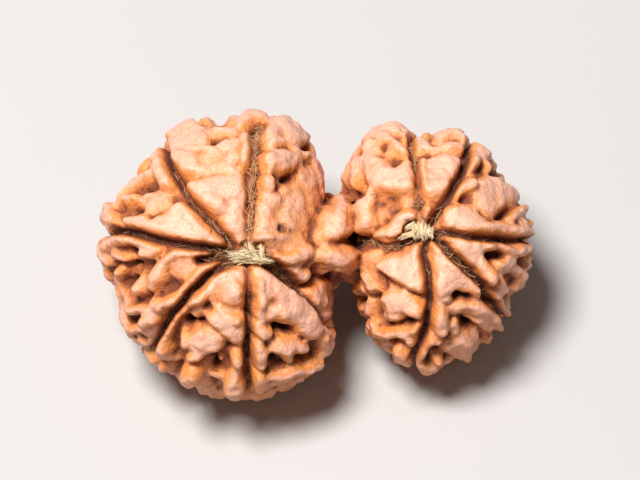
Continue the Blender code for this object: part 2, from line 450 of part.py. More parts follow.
# Pits: depth in mm, then the centre and half-width in pixels.
PITS = {
    "left": (
        (1.3, (214, 140, 5.5)), (0.9, (139, 187, 6)), (1.1, (133, 209, 8)), (0.5, (152, 217, 5)),
        (0.6, (174, 198, 7)), (1.2, (128, 250, 7)), (0.9, (128, 268, 7)), (1.1, (127, 284, 5)),
        (1.0, (138, 317, 4)), (1.1, (130, 323, 5)), (1.2, (133, 338, 4)), (1.5, (186, 326, 8)),
        (1.6, (199, 327, 6)), (1.3, (212, 363, 8)), (1.2, (214, 373, 7)), (0.4, (191, 347, 3.5)),
        (1.0, (171, 378, 12)), (1.3, (257, 129, 7)), (1.5, (279, 331, 7)), (1.5, (291, 332, 8)),
        (0.9, (304, 340, 5)), (0.4, (274, 303, 7)), (1.3, (276, 364, 8)), (1.3, (304, 362, 8)),
        (0.5, (283, 228, 6)), (0.35, (280, 214, 9)), (0.35, (282, 134, 6)), (0.5, (281, 147, 4.5)),
        (0.7, (292, 176, 8)), (1.2, (259, 129, 4)), (0.3, (192, 228, 3)), (0.6, (208, 310, 7)),
        (0.2, (228, 204, 6)),
    ),
    "right": (
        (1.4, (383, 145, 5.5)), (0.9, (379, 154, 5)), (1.3, (394, 157, 4)), (1.3, (393, 163, 4)),
        (0.6, (373, 137, 3.5)), (0.7, (402, 132, 3)), (1.0, (411, 147, 4)), (0.6, (360, 186, 7)),
        (0.5, (380, 204, 5)), (0.5, (382, 220, 4)), (0.5, (391, 211, 5)), (1.3, (417, 205, 6)),
        (1.2, (441, 203, 7)), (1.0, (455, 180, 6)), (0.9, (466, 197, 6)), (0.7, (483, 213, 4)),
        (1.2, (507, 210, 7)), (0.9, (484, 165, 4)), (1.4, (497, 258, 7)), (1.2, (505, 257, 6)),
        (0.9, (512, 243, 5)), (0.7, (517, 281, 4)), (0.5, (441, 259, 3)), (1.5, (458, 298, 7)),
        (1.5, (469, 299, 7)), (1.3, (488, 298, 6)), (1.2, (470, 329, 8)), (1.3, (431, 360, 4)),
        (1.4, (410, 323, 7)), (1.2, (399, 325, 5)), (0.7, (347, 187, 3)), (1.0, (388, 248, 7)),
        (1.0, (404, 242, 7)),
    ),
    "neck": (),
}

# Notches in a stone's outline, which run on round it: depth in mm, then the centre and half-width.
NOTCHES = {
    "left": (
        (1.1, (220, 117, 13)), (0.5, (271, 115, 4)), (0.9, (306, 148, 5)), (0.4, (147, 170, 4)),
        (0.6, (104, 268, 4)), (0.5, (116, 297, 4)), (1.3, (212, 390, 9)), (0.9, (171, 377, 7)),
    ),
    "right": (
        (0.5, (431, 134, 5)), (1.1, (500, 169, 9)), (0.8, (528, 200, 4.5)), (0.5, (533, 217, 4)),
        (0.8, (530, 262, 6)), (0.9, (521, 304, 9)), (0.8, (502, 343, 7)), (0.6, (488, 351, 5)),
    ),
    "neck": (),
}


def outline_radius(stone, angle):
    """The outline's distance from the stone's centre, in pixels, in a direction of the view."""
    radii = np.array(stone["outline"], dtype=float)
    place = (angle / (2 * math.pi) * len(radii)) % len(radii)
    i = np.floor(place).astype(int)
    t = place - i
    a, b, c, d = (radii[(i + k) % len(radii)] for k in (-1, 0, 1, 2))
    return b + 0.5 * t * (c - a + t * (2 * a - 5 * b + 4 * c - d + t * (3 * (b - c) + d - a)))


def photo_to_sphere(stone, x, y):
    """The direction, on a unit ball, of the point of a stone that the photograph shows at (x, y)."""
    rise = 1.0
    for _ in range(4):
        shrink = 1 - (stone["depth"] + stone["half_depth"] * rise) / VIEW_DISTANCE_MM
        across = VIEW_CENTRE_PX[0] + (x - VIEW_CENTRE_PX[0]) * shrink - stone["centre"][0]
        up = stone["centre"][1] - VIEW_CENTRE_PX[1] - (y - VIEW_CENTRE_PX[1]) * shrink
        angle = math.atan2(up, across)
        reach = min(math.hypot(across, up) / outline_radius(stone, angle), MOST_REACH)
        rise = math.sqrt(1 - reach * reach)
    return np.array((reach * math.cos(angle), reach * math.sin(angle), rise))


def as_seen(points, depth=SEEN_DEPTH):
    """Points with the view's depth reduced, so that sizes near the outline are as the photograph shows."""
    return points * (1, 1, depth)


def seen_at(stone, points):
    """Where the photograph shows points that are given in mm from a stone's centre."""
    flat = np.array(stone["centre"]) + points[:, :2] * (1, -1) / MM_PER_PX
    grow = VIEW_DISTANCE_MM / (VIEW_DISTANCE_MM - stone["depth"] - points[:, 2:])
    return np.array(VIEW_CENTRE_PX) + (flat - VIEW_CENTRE_PX) * grow


def on_outline(stone, directions):
    """The points of a stone's plain outline shape, in mm from its centre, for directions on a ball."""
    directions = np.asarray(directions)
    radius = outline_radius(stone, np.arctan2(directions[..., 1], directions[..., 0])) * MM_PER_PX
    return np.stack((directions[..., 0] * radius, directions[..., 1] * radius,
                     directions[..., 2] * stone["half_depth"]), axis=-1)


def noise_at(points, wave, seed):
    """Smooth noise between about -1 and 1 at each point, with lumps about a wave apart."""
    cells = points / wave
    base = np.floor(cells).astype(np.int64)
    part = cells - base
    ease = part * part * (3 - 2 * part)
    total = np.zeros(len(points))
    for corner in itertools.product((0, 1), repeat=3):
        key = (base + corner) @ np.array((73856093, 19349663, 83492791)) + seed * 7919
        key = (key ^ (key >> 13)) * 1274126177 & 0x7FFFFFFF
        key = (key ^ (key >> 15)) * 668265263 & 0x3FFFFFFF
        slope = np.stack((key & 1023, key >> 10 & 1023, key >> 20 & 1023), axis=1) / 511.5 - 1
        weight = np.prod(np.where(corner, ease, 1 - ease), axis=1)
        total += weight * np.sum(slope * (part - corner), axis=1)
    return total * 1.5


def distance_to_path(points, path):
    """Each point's distance to a path, and how far along it (0 to 1) the nearest place is."""
    nearest = np.full(len(points), np.inf)
    along = np.zeros(len(points))
    spans = len(path) - 1
    for i in range(spans):
        start, step = path[i], path[i + 1] - path[i]
        share = np.clip((points - start) @ step / max(step @ step, 1e-9), 0, 1)
        gap = np.linalg.norm(points - start - share[:, None] * step, axis=1)
        closer = gap < nearest
        nearest[closer] = gap[closer]
        along[closer] = (i + share[closer]) / spans
    return nearest, along


def soft_max(a, b, blend):
    """The larger of two levels, with the corner between them rounded."""
    near = np.clip(1 - np.abs(a - b) / blend, 0, None)
    return np.maximum(a, b) + near * near * blend / 4


def bottom_path(stone, last, rng):
    """Carries a cleft on from its last shown point to the hidden pole, along a wandering meridian."""
    top = photo_to_sphere(stone, *stone["pole"])
    side = last - top * (last @ top)
    side = side / np.linalg.norm(side)
    across = np.cross(top, side)
    start = math.degrees(math.acos(np.clip(last @ top, -1, 1)))
    path = []
    for step in range(1, BACK_POINTS + 1):
        angle = math.radians(start + (CLEFT_END_DEG - start) * step / BACK_POINTS)
        swing = rng.uniform(-CLEFT_SWING, CLEFT_SWING) * math.sin(angle)
        meridian = side * math.cos(swing) + across * math.sin(swing)
        path.append(top * math.cos(angle) + meridian * math.sin(angle))
    return path


def cleft_paths(name):
    """The clefts of a stone as (half-width in mm, bottom level, points in mm on its outline)."""
    stone = STONES[name]
    rng = random.Random(stone["seed"])
    found = []
    for width, bottom, points in CLEFTS[name]:
        path = [photo_to_sphere(stone, x, y) for x, y in points]
        if stone["pole"] and path[-1][2] < CLEFT_END_RISE:
            path += bottom_path(stone, path[-1], rng)
        found.append((width * MM_PER_PX, bottom, list(on_outline(stone, path))))
    return found


def shown_folds(name, folds):
    """Folds that the photograph shows, as (points in mm as seen, half-widths in mm, crest levels)."""
    stone = STONES[name]
    found = []
    for points in folds:
        path = on_outline(stone, [photo_to_sphere(stone, x, y) for x, y, _, _ in points])
        widths = [r * MM_PER_PX for _, _, r, _ in points]
        found.append((as_seen(path), widths, [level for _, _, _, level in points]))
    return found


def hidden_folds(name, clefts):
    """Folds and knobs for the side that the photograph hides, scattered clear of the clefts."""
    stone = STONES[name]
    rng = random.Random(stone["seed"] + 100)
    shares = np.linspace(0, 1, 12)[:, None]
    beds = [a + (b - a) * shares for _, _, path in clefts for a, b in zip(path, path[1:])]
    beds = np.concatenate(beds)
    found, taken = [], []
    for attempt in range(HIDDEN_TRIES):
        direction = np.array([rng.gauss(0, 1) for _ in range(3)])
        direction = direction / np.linalg.norm(direction)
        if direction[2] > HIDDEN_RISE:
            continue
        centre = on_outline(stone, direction)
        half_width = rng.uniform(*HIDDEN_LARGE_MM if attempt < HIDDEN_LARGE_TRIES else HIDDEN_SMALL_MM)
        if np.linalg.norm(beds - centre, axis=1).min() < half_width * HIDDEN_SPACING + BLEND_MM:
            continue
        if any(np.linalg.norm(centre - other) < (half_width + width) * HIDDEN_SPACING
               for other, width in taken):
            continue
        turn = np.cross(direction, [rng.gauss(0, 1) for _ in range(3)])
        turn = turn / np.linalg.norm(turn) * rng.uniform(*HIDDEN_LENGTHS)
        bend = np.cross(direction, turn) * rng.uniform(-0.5, 0.5)
        arc = np.array([direction - turn, direction + bend, direction + turn])
        path = on_outline(stone, arc / np.linalg.norm(arc, axis=1)[:, None])
        widths = [half_width * rng.uniform(0.7, 1), half_width, half_width * rng.uniform(0.6, 1)]
        highest = HIDDEN_CREST if direction[2] < HIDDEN_RIM else HIDDEN_RIM_CREST
        found.append((path, widths, [rng.uniform(highest - HIDDEN_CREST_SPAN, highest) for _ in path]))
        taken += [(p, half_width) for p in path]
    return found


def raise_fold(level, points, path, widths, crests):
    """Lifts the level to a fold: round across, with steep sides, and flatter where it is broad."""
    middle = np.mean(path, axis=0)
    reach = max(np.linalg.norm(p - middle) for p in path) + max(widths)
    near = np.linalg.norm(points - middle, axis=1) < reach
    gap, along = distance_to_path(points[near], path)
    steps = np.linspace(0, 1, len(widths))
    width = np.interp(along, steps, widths)
    crest = np.interp(along, steps, crests)
    broadness = np.clip(width / MM_PER_PX, *FOLD_GAIN_PX) - FOLD_GAIN_PX[0]
    power = FOLD_POWER + FOLD_POWER_GAIN * broadness
    across = np.sqrt(np.clip(1 - (gap / width) ** power, 0, 1))
    level[near] = soft_max(level[near], FOOT_LEVEL + (crest - FOOT_LEVEL) * across, BLEND_MM)


def raise_plate(level, points, pixels, stone, edge, corners):
    """Lifts the level to a plate: its corners' levels inside, a rounded shoulder all round."""
    shape = np.array([(x, y) for x, y, _ in corners], dtype=float)
    middle = shape.mean(axis=0)
    reach = np.linalg.norm(shape - middle, axis=1).max() + edge
    near = np.flatnonzero((np.linalg.norm(pixels - middle, axis=1) < reach) & (points[:, 2] > 0))
    here = pixels[near]
    inside = np.zeros(len(near), dtype=bool)
    for (ax, ay), (bx, by) in zip(shape, np.roll(shape, -1, axis=0)):
        if ay == by:
            continue
        crosses = (here[:, 1] < ay) != (here[:, 1] < by)
        inside ^= crosses & (here[:, 0] < ax + (here[:, 1] - ay) * (bx - ax) / (by - ay))
    weights = 1 / (np.linalg.norm(here[:, None] - shape[None], axis=2) ** 2 + CORNER_REACH_PX**2) ** 1.5
    plate = weights @ np.array([z for _, _, z in corners]) / weights.sum(axis=1)
    rim = on_outline(stone, [photo_to_sphere(stone, x, y) for x, y in np.vstack((shape, shape[:1]))])
    to_rim = distance_to_path(points[near], rim)[0]
    swell = np.where(inside, np.clip(to_rim / CUSHION[1], 0, 1), 0)
    plate = plate + CUSHION[0] * (swell * (2 - swell) - 0.5)
    gap = to_rim / (edge * MM_PER_PX)
    shoulder = np.clip((np.where(inside, -gap, gap) + PLATE_EDGE_INSIDE) / (1 + PLATE_EDGE_INSIDE), 0, 1)
    across = np.sqrt(1 - shoulder**PLATE_POWER)
    level[near] = soft_max(level[near], FOOT_LEVEL + (plate - FOOT_LEVEL) * across, BLEND_MM)


def relief(name, outline_points):
    """The level of a stone's surface over each point of its outline, in mm above the bed."""
    stone = STONES[name]
    seeds = itertools.count(stone["seed"])

    def uneven(height, wave):
        return height * noise_at(outline_points, wave, next(seeds))

    points = outline_points + np.stack([uneven(*WARP) for _ in range(3)], axis=1)
    pixels = seen_at(stone, points)
    clefts = cleft_paths(name)
    level = VALLEY_LEVEL + uneven(*VALLEYS)
    for edge, corners in PLATES[name]:
        raise_plate(level, points, pixels, stone, edge, corners)
    for path, widths, crests in hidden_folds(name, clefts):
        raise_fold(level, points, path, widths, crests)
    for path, widths, crests in shown_folds(name, FOLDS[name]):
        raise_fold(level, as_seen(points), path, widths, crests)
    for holes, reach in ((PITS[name], SEEN_DEPTH), (NOTCHES[name], NOTCH_DEPTH)):
        for depth, (x, y, half_width) in holes:
            centre = as_seen(on_outline(stone, photo_to_sphere(stone, x, y)), reach)
            gap = np.linalg.norm(as_seen(points, reach) - centre, axis=1) / (half_width * MM_PER_PX)
            level -= depth * np.clip(1 - gap**2, 0, 1) ** PIT_POWER
    low = np.clip((GRAIN_LEVEL - level) / GRAIN_LEVEL, 0, 1)
    level += low * sum(uneven(*grain) for grain in GRAIN)
    level += sum(uneven(*lumps) for lumps in LUMPS)
    crease = 1 - np.clip(np.abs(uneven(1, WRINKLES[1])) / WRINKLE_WIDTH, 0, 1)
    level -= WRINKLES[0] * crease**2
    ragged = sum(uneven(*edge) for edge in RAGGED)
    floor = uneven(*CLEFT_FLOOR)
    for half_width, bottom, path in clefts:
        gap, _ = distance_to_path(points, path)
        lip = np.clip((gap + ragged - half_width * CLEFT_BED_SHARE - PLUMP_MM) / CLEFT_LIP_MM, 0, 1)
        bed = bottom + floor
        level = np.minimum(level, bed + (level - bed) * np.sqrt(1 - (1 - lip) ** 2))
    for path, widths, crests in shown_folds(name, BRIDGES[name]):
        raise_fold(level, as_seen(points), path, widths, crests)
    return level


def view_to_world(points):
    """Turns points of the view (right, up, towards the viewer) to the object's frame, +Z up."""
    tilt = math.radians(VIEW_TILT_DEG)
    up = np.array((0, math.sin(tilt), math.cos(tilt)))
    out = np.array((0, -math.cos(tilt), math.sin(tilt)))
    right = np.array((1.0, 0, 0))
    return points @ np.stack((right, up, out))


def ball(name, steps):
    """A ball of radius 1 as a mesh, and its points."""
    bm = bmesh.new()
    bmesh.ops.create_icosphere(bm, subdivisions=steps, radius=1.0)
    mesh = bpy.data.meshes.new(name)
    bm.to_mesh(mesh)
    bm.free()
    return mesh, read_points(mesh)


def read_points(mesh):
    points = np.empty(len(mesh.vertices) * 3)
    mesh.vertices.foreach_get("co", points)
    return points.reshape(-1, 3)


def read_normals(mesh):
    normals = np.empty(len(mesh.vertices) * 3)
    mesh.vertex_normals.foreach_get("vector", normals)
    return normals.reshape(-1, 3)


def write_points(mesh, points):
    mesh.vertices.foreach_set("co", np.asarray(points).ravel())
    mesh.update()


def in_view(stone, points):
    """Moves points from a stone's own centre to the view's millimetres."""
    return points + (stone["centre"][0] * MM_PER_PX, -stone["centre"][1] * MM_PER_PX, stone["depth"])


def stone_mesh(name, steps):
    """One stone as a mesh in the view's millimetres: a ball whose points are moved to the relief."""
    stone = STONES[name]
    mesh, directions = ball(name, steps)
    outline = on_outline(stone, directions)
    write_points(mesh, outline)
    raised = outline + read_normals(mesh) * (relief(name, outline) - OUTLINE_LEVEL)[:, None]
    write_points(mesh, raised)
    write_points(mesh, in_view(stone, raised + read_normals(mesh) * PLUMP_MM))
    return mesh


def strand_mesh(name, start, end, half_width, level, room, steps):
    """One strand of a stalk's fibres: a long ball between two points of the photograph."""
    stone = STONES[name]
    radius = half_width * MM_PER_PX + room
    ends = []
    for x, y in (start, end):
        direction = photo_to_sphere(stone, x, y)
        ends.append(on_outline(stone, direction) + direction * (level - OUTLINE_LEVEL))
    middle = (ends[0] + ends[1]) / 2
    along = ends[1] - ends[0]
    length = np.linalg.norm(along) / 2 + radius
    along = along / np.linalg.norm(along)
    out = middle / np.linalg.norm(middle)
    across = np.cross(out, along)
    mesh, points = ball("strand", steps)
    axes = np.stack((along * length, across * radius, np.cross(along, across) * radius * STRAND_FLATNESS))
    write_points(mesh, in_view(stone, middle + points @ axes))
    return mesh


def joined(meshes, name):
    """Several meshes as one, turned to the object's frame (+Z up) and to metres."""
    bm = bmesh.new()
    for mesh in meshes:
        bm.from_mesh(mesh)
        bpy.data.meshes.remove(mesh)
    whole = bpy.data.meshes.new(name)
    bm.to_mesh(whole)
    bm.free()
    write_points(whole, view_to_world(read_points(whole)) * METRES_PER_MM)
    return whole


def add_object(name, mesh, collection):
    obj = bpy.data.objects.new(name, mesh)
    collection.objects.link(obj)
    return obj


def fuse(obj, voxel, passes):
    """Makes one skin of overlapping meshes and softens it."""
    remesh = obj.modifiers.new("One skin", "REMESH")
    remesh.mode = "VOXEL"
    remesh.voxel_size = voxel * METRES_PER_MM
    smooth = obj.modifiers.new("Soften", "SMOOTH")
    smooth.factor = 0.5
    smooth.iterations = passes


def apply_modifiers(obj):
    """Replaces an object's mesh by what its modifiers make of it."""
    graph = bpy.context.evaluated_depsgraph_get()
    old = obj.data
    obj.data = bpy.data.meshes.new_from_object(obj.evaluated_get(graph))
    obj.modifiers.clear()
    bpy.data.meshes.remove(old)


def material(name, colour, roughness):
    made = bpy.data.materials.new(name)
    made.use_nodes = True
    shader = made.node_tree.nodes["Principled BSDF"]
    shader.inputs["Base Color"].default_value = (*colour, 1)
    shader.inputs["Roughness"].default_value = roughness
    return made


def clear_scene():
    for obj in list(bpy.data.objects):
        bpy.data.objects.remove(obj)


def drop_idle_corners(obj):
    """Takes out the corners that only two edges meet at, which a closed skin has no need of."""
    mesh = bmesh.new()
    mesh.from_mesh(obj.data)
    idle = [corner for corner in mesh.verts if len(corner.link_edges) == 2]
    bmesh.ops.dissolve_verts(mesh, verts=idle)
    mesh.to_mesh(obj.data)
    mesh.free()


def thin_out(obj, triangles):
    """Brings a mesh down to about a number of triangles, and leaves triangles only."""
    drop_idle_corners(obj)
    faces = sum(len(p.vertices) - 2 for p in obj.data.polygons)
    fewer = obj.modifiers.new("Fewer faces", "DECIMATE")
    fewer.ratio = min(1.0, triangles / faces)
    fewer.use_collapse_triangulate = True
    apply_modifiers(obj)


def cut(obj, cutter):
    """Takes a cutter's shape off an object."""
    off = obj.modifiers.new("Cut", "BOOLEAN")
    off.operation = "DIFFERENCE"
    off.solver = "EXACT"
    off.object = cutter
    apply_modifiers(obj)


def fibres_mesh(name, room, steps):
    """The strands of a stalk's fibres, overlapping; room is added all round."""
    strands = [strand_mesh(name, *strand, room, steps) for strand in STRANDS[name]]
    return joined(strands, "stem_fibres_" + name)


def block(name, low, high, collection):
    """A box between two corners, in metres."""
    bm = bmesh.new()
    bmesh.ops.create_cube(bm, size=1.0)
    bmesh.ops.scale(bm, vec=high - low, verts=bm.verts)
    bmesh.ops.translate(bm, vec=(low + high) / 2, verts=bm.verts)
    mesh = bpy.data.meshes.new(name)
    bm.to_mesh(mesh)
    bm.free()
    return add_object(name, mesh, collection)


def build(steps=SPHERE_STEPS, voxel=VOXEL_MM, triangles=STONE_TRIANGLES):
    clear_scene()
    parts = bpy.data.collections.new("gauri_shankar")
    cutters = bpy.data.collections.new("cutters")
    for collection in (parts, cutters):
        bpy.context.scene.collection.children.link(collection)

    skins = joined([stone_mesh(name, steps) for name in STONES], "twin_stone")
    stone = add_object("twin_stone", skins, parts)
    fuse(stone, voxel, SMOOTH_PASSES)
    apply_modifiers(stone)
    objects = [stone]
    for name in STRANDS:
        scar = add_object("scar_" + name, fibres_mesh(name, SCAR_GAP_MM, SCAR_STEPS), cutters)
        fuse(scar, SCAR_VOXEL_MM, STRAND_SMOOTH_PASSES)
        apply_modifiers(scar)
        cut(stone, scar)
        fibres = add_object("stem_fibres_" + name, fibres_mesh(name, 0, STRAND_STEPS), parts)
        fuse(fibres, STRAND_VOXEL_MM, STRAND_SMOOTH_PASSES)
        apply_modifiers(fibres)
        thin_out(fibres, FIBRE_TRIANGLES)
        objects.append(fibres)
    thin_out(stone, triangles)

    # The origin goes under the middle of the stone, at the level the lowest knobs are worn to.
    points = read_points(stone.data)
    low, high = points.min(axis=0), points.max(axis=0)
    floor = low[2] + REST_CUT_MM * METRES_PER_MM
    origin = Vector(((low[0] + high[0]) / 2, (low[1] + high[1]) / 2, floor))
    for obj in objects:
        obj.data.transform(Matrix.Translation(-origin))
    reach = LENGTH_MM * METRES_PER_MM
    under = block("rest_cut", Vector((-reach, -reach, -reach)), Vector((reach, reach, 0)), cutters)
    cut(stone, under)

    stone_look = material("stone", (0.52, 0.27, 0.14), 0.5)
    fibre_look = material("fibre", (0.72, 0.6, 0.4), 0.8)
    for obj in objects:
        obj.data.materials.clear()
        obj.data.materials.append(stone_look if obj is stone else fibre_look)
    for obj in cutters.objects:
        obj.hide_render = True
        obj.display_type = "WIRE"
    return stone


if __name__ == "__main__":
    build()
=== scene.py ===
"""The looks of the gauri shankar rudraksha: the stone's fine skin, its stalk fibres, floor, light, camera.

The relief follows the same named features as the CAD model, here on a finer mesh, and the skin lies
where the CAD stone lies. Features are in the pixels of a 640 x 480 view, sizes in millimetres.
"""

import itertools
import math
import random

import bmesh
import bpy
import numpy as np
from mathutils import Matrix, Vector
from mathutils.bvhtree import BVHTree


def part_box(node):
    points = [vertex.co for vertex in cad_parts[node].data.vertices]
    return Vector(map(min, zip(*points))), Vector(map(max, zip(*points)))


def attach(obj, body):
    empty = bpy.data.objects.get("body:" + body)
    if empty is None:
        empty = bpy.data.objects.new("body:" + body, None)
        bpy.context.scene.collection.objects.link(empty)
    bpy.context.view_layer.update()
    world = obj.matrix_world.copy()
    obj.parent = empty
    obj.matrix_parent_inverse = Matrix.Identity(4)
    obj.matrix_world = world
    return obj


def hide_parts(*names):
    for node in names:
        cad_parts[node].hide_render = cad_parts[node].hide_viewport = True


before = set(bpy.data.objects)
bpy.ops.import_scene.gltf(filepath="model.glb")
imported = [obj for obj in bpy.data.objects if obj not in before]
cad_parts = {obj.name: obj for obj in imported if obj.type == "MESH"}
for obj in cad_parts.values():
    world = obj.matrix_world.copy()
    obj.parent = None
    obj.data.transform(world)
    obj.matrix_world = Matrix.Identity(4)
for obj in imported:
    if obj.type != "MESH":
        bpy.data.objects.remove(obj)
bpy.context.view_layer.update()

# Driving sizes.
LENGTH_MM = 33.0  # over both stones
PHOTO_LENGTH_PX = 440.0  # the same length in the photograph
MM_PER_PX = LENGTH_MM / PHOTO_LENGTH_PX
METRES_PER_MM = 0.001

# The view, and its axes (right, up, towards the viewer) in the object's frame, where +Z is up.
VIEW_WIDTH_PX = 640
VIEW_CENTRE_PX = (320, 240)
VIEW_DISTANCE_MM = 400.0  # from the eye to the view's own plane
VIEW_TILT = math.radians(60)  # the shown side faces this far above the horizon
VIEW_AXES = np.array(((1, 0, 0),
                      (0, math.sin(VIEW_TILT), math.cos(VIEW_TILT)),
                      (0, -math.cos(VIEW_TILT), math.sin(VIEW_TILT))))
SIGHT_ROUNDS = 4  # enough to settle where a line of sight meets a stone

# Levels of the relief, in millimetres above the bed of the stone.
OUTLINE_LEVEL = 1.36  # where the stone's outline lies
VALLEY_LEVEL = 0.3  # the valleys between plates and folds
FOOT_LEVEL = 0.1  # where the flanks of plates and folds start
GRAIN_LEVEL = 1.0  # below this the surface is grainy
BLEND_MM = 0.2  # how softly one fold runs into the next
PLUMP_MM = 0.14  # how far the finished relief swells
CUSHION = (0.12, 0.8)  # how much higher a plate's middle is than its rim, and over what distance, in mm

# How steep the flanks are: 2 is a half round, and more is flatter on top with steeper sides.
FOLD_POWER = 2.1
FOLD_POWER_GAIN = 0.3  # for each pixel of half-width
FOLD_GAIN_PX = (6, 14)  # between these half-widths
PLATE_POWER = 2.2
PIT_POWER = 0.8
PLATE_EDGE_INSIDE = 0.8  # a plate's flank starts this share of its edge inside the line of its corners
CORNER_REACH_PX = 4.5  # how far a plate's corner keeps its own level
CORNER_POWER = 1.5  # how fast it gives way to the others' beyond that

# Clefts.
CLEFT_BED_SHARE = 0.85  # the bed's share of a cleft's width
CLEFT_LIP_MM = 0.3  # how wide the rounded lip of a cleft is
CLEFT_END_RISE = 0.55  # a cleft that ends nearer the outline than this goes on round the back
CLEFT_END_DEG = 176.0  # and ends this far from the shown pole
CLEFT_SWING = 0.09  # how far it wanders on the way, in radians
BACK_POINTS = 5

# The noise: a hash of each cell's place and the seed, mixed by rounds of shift, factor and mask.
HASH_PLACE = np.array((73856093, 19349663, 83492791))
HASH_SEED = 7919
HASH_ROUNDS = ((13, 1274126177, 0x7FFFFFFF), (15, 668265263, 0x3FFFFFFF))
NOISE_GAIN = 1.5

# Irregularity: how far, and over what distance, in mm.
VALLEYS = (0.4, 2.2)
WARP = (0.12, 1.5)
RAGGED = ((0.16, 0.9), (0.1, 0.4))  # the edges of the clefts
CLEFT_FLOOR = (0.35, 1.1)
LUMPS = ((0.18, 1.9), (0.17, 0.95), (0.13, 0.5))
GRAIN = ((0.26, 0.75), (0.2, 0.42))  # in the hollows alone
WRINKLES = (0.14, 1.3)
WRINKLE_WIDTH = 0.16  # as a share of the noise's height

# Folds of the hidden side: half-widths in mm, half-lengths as shares of the radius, crests in mm.
HIDDEN_SEED = 100  # what is added to the stone's own seed
HIDDEN_TRIES = 6000
HIDDEN_LARGE_TRIES = 2500
HIDDEN_RISE = 0.1  # how far towards the viewer they may lie, of the half depth
HIDDEN_LARGE_MM = (0.75, 1.1)
HIDDEN_SMALL_MM = (0.4, 0.7)
HIDDEN_LENGTHS = (0.01, 0.14)
HIDDEN_CREST = 1.6
HIDDEN_RIM_CREST = 1.4  # near the outline
HIDDEN_RIM = -0.2  # how near, of the half depth
HIDDEN_CREST_SPAN = 0.6
HIDDEN_SPACING = 0.8  # of the half-widths
HIDDEN_BEND = 0.5
HIDDEN_ENDS = (0.7, 0.6)  # how thin a fold's ends may be, of its half-width
HIDDEN_BED_STEPS = 12  # points on each span of a cleft, from which the folds keep clear

MOST_REACH = 0.975  # how near to a stone's outline, as a share of its radius, a feature may lie
SEEN_DEPTH = 0.3  # how much the view's depth counts in the sizes of folds and pits
NOTCH_DEPTH = 0.15  # and of notches

# The mesh.
SPHERE_STEPS = 8
VOXEL_MM = 0.15
SMOOTH_PASSES = 2
STONE_TRIANGLES = 195000

# The room round the stalk fibres.
SCAR_GAP_MM = 0.3
STRAND_FLATNESS = 0.85
SCAR_STEPS = 3
SCAR_VOXEL_MM = 0.15
SCAR_SMOOTH_PASSES = 3

# The camera, light and floor, in metres.
SENSOR_MM = 36.0
CLIP_RANGE = (0.01, 10.0)
KEY_DIRECTION = (-0.24, 0.42, 0.87)  # along the view's axes
KEY_DISTANCE = 0.5
KEY_SIZE = 0.16
KEY_ENERGY = 3.8
KEY_COLOUR = (1.0, 0.96, 0.94)
FLOOR_RADIUS = 1.5
FLOOR_SIDES = 96
ROOM_COLOUR = (1.0, 0.94, 0.87)
ROOM_STRENGTH = 0.14

# Colours of the stone, from its heights to its clefts.
CREST_COLOUR = (0.91, 0.375, 0.155)
# The pale tan of high, flat tops that face up: partly the stone's own paler crests, partly painted light.
PALE_COLOUR = (0.95, 0.52, 0.37)
RIM_COLOUR = (0.8, 0.27, 0.055)
SLOPE_COLOUR = (0.73, 0.213, 0.058)
BLUSH_COLOUR = (0.72, 0.225, 0.1)
# The red brown of the hollows: the stone's own, spread further by painted shade where the surface hides its
# sky.
RED_COLOUR = (0.38, 0.102, 0.036)
# Dark brown: the stone's own fine specks, and painted shade in its creases.
CREVICE_COLOUR = (0.165, 0.042, 0.016)
# Near black: painted shade, in the deepest hollows and clefts.
DEEP_SHADE_COLOUR = (0.07, 0.019, 0.009)
# A darker orange for the faces that look down: painted shade.
UNDERSIDE_SHADE_COLOUR = (0.57, 0.166, 0.036)
STAIN_COLOUR = (0.21, 0.09, 0.07)
FLOOR_COLOURS = ((0.55, 0.55, 0.55), (0.58, 0.58, 0.58))

# Lumps of the materials' noises, and how high their bumps are.
BLOTCH_MM = 2.2
GRAIN_MM = 0.35
SPECK_MM = 0.16
BLUSH_MM = 0.9
BED_BUMP_MM = 0.16
PORE_MM = 0.5
PORE_BUMP_MM = 0.22
FIBRE_GRAIN_MM = 0.25
FIBRE_SKIN_MM = 0.05
FIBRE_BUMP_MM = 0.01
FLOOR_CLOUD_MM = 60

# Fibres in the clefts: how many to a millimetre of cleft, and how each one lies.
FIBRE_SEED = 500
FIBRES_PER_MM = 18
FIBRE_LENGTHS_MM = (0.5, 1.9)
FIBRE_RADII_MM = (0.016, 0.032)
FIBRE_SIDES = 3
FIBRE_POINTS = 7
FIBRE_SPREAD_DEG = 34
FIBRE_LEAN = 0.25  # how steeply they rise or sink
FIBRE_BEND = 0.5
FIBRE_LIFT = 0.6  # how much of the bend is out of the bed, beside that along it
FIBRE_ASIDE = 0.8  # how far from a cleft's middle they lie, of its half-width
FIBRE_FLOOR_MM = 0.1  # how far the lowest lie above the bottom
FIBRE_FILL_POWER = 1.5  # above 1, more of them lie low
CLEFT_FILL = 0.6  # how high they fill a cleft
DEEP_CLEFT_LEVEL = -0.9
DEEP_CLEFT_FIBRE_SHADE = 0.25  # how much paler the fibres are painted for each mm that a cleft is shallower than that: painted shade darkens those of deep clefts

# The tufts: how many fibres to a strand, and how each one lies in it, as shares of its size.
TUFT_SEED = 900
TUFT_FIBRES = 60
TUFT_RADII_MM = (0.018, 0.045)
TUFT_SIDES = 6
TUFT_POINTS = 9
TUFT_SPREADS = (0.3, 0.95)
TUFT_LENGTHS = (0.35, 1.0)
TUFT_SHIFT = 0.35
TUFT_END = 1.3  # where the strand would close, of its half length
TUFT_THIN = 0.1  # and what it keeps of its section there
TUFT_BEND = 0.5
TUFT_SLANT = 0.6
TUFT_FLATNESS = 0.8

# How a fibre thins towards its ends, and a direction that none follows.
TUBE_TAPER = 0.75
TUBE_TAPER_POWER = 3
TUBE_SIDEWAYS = (0.31, 0.53, 0.79)

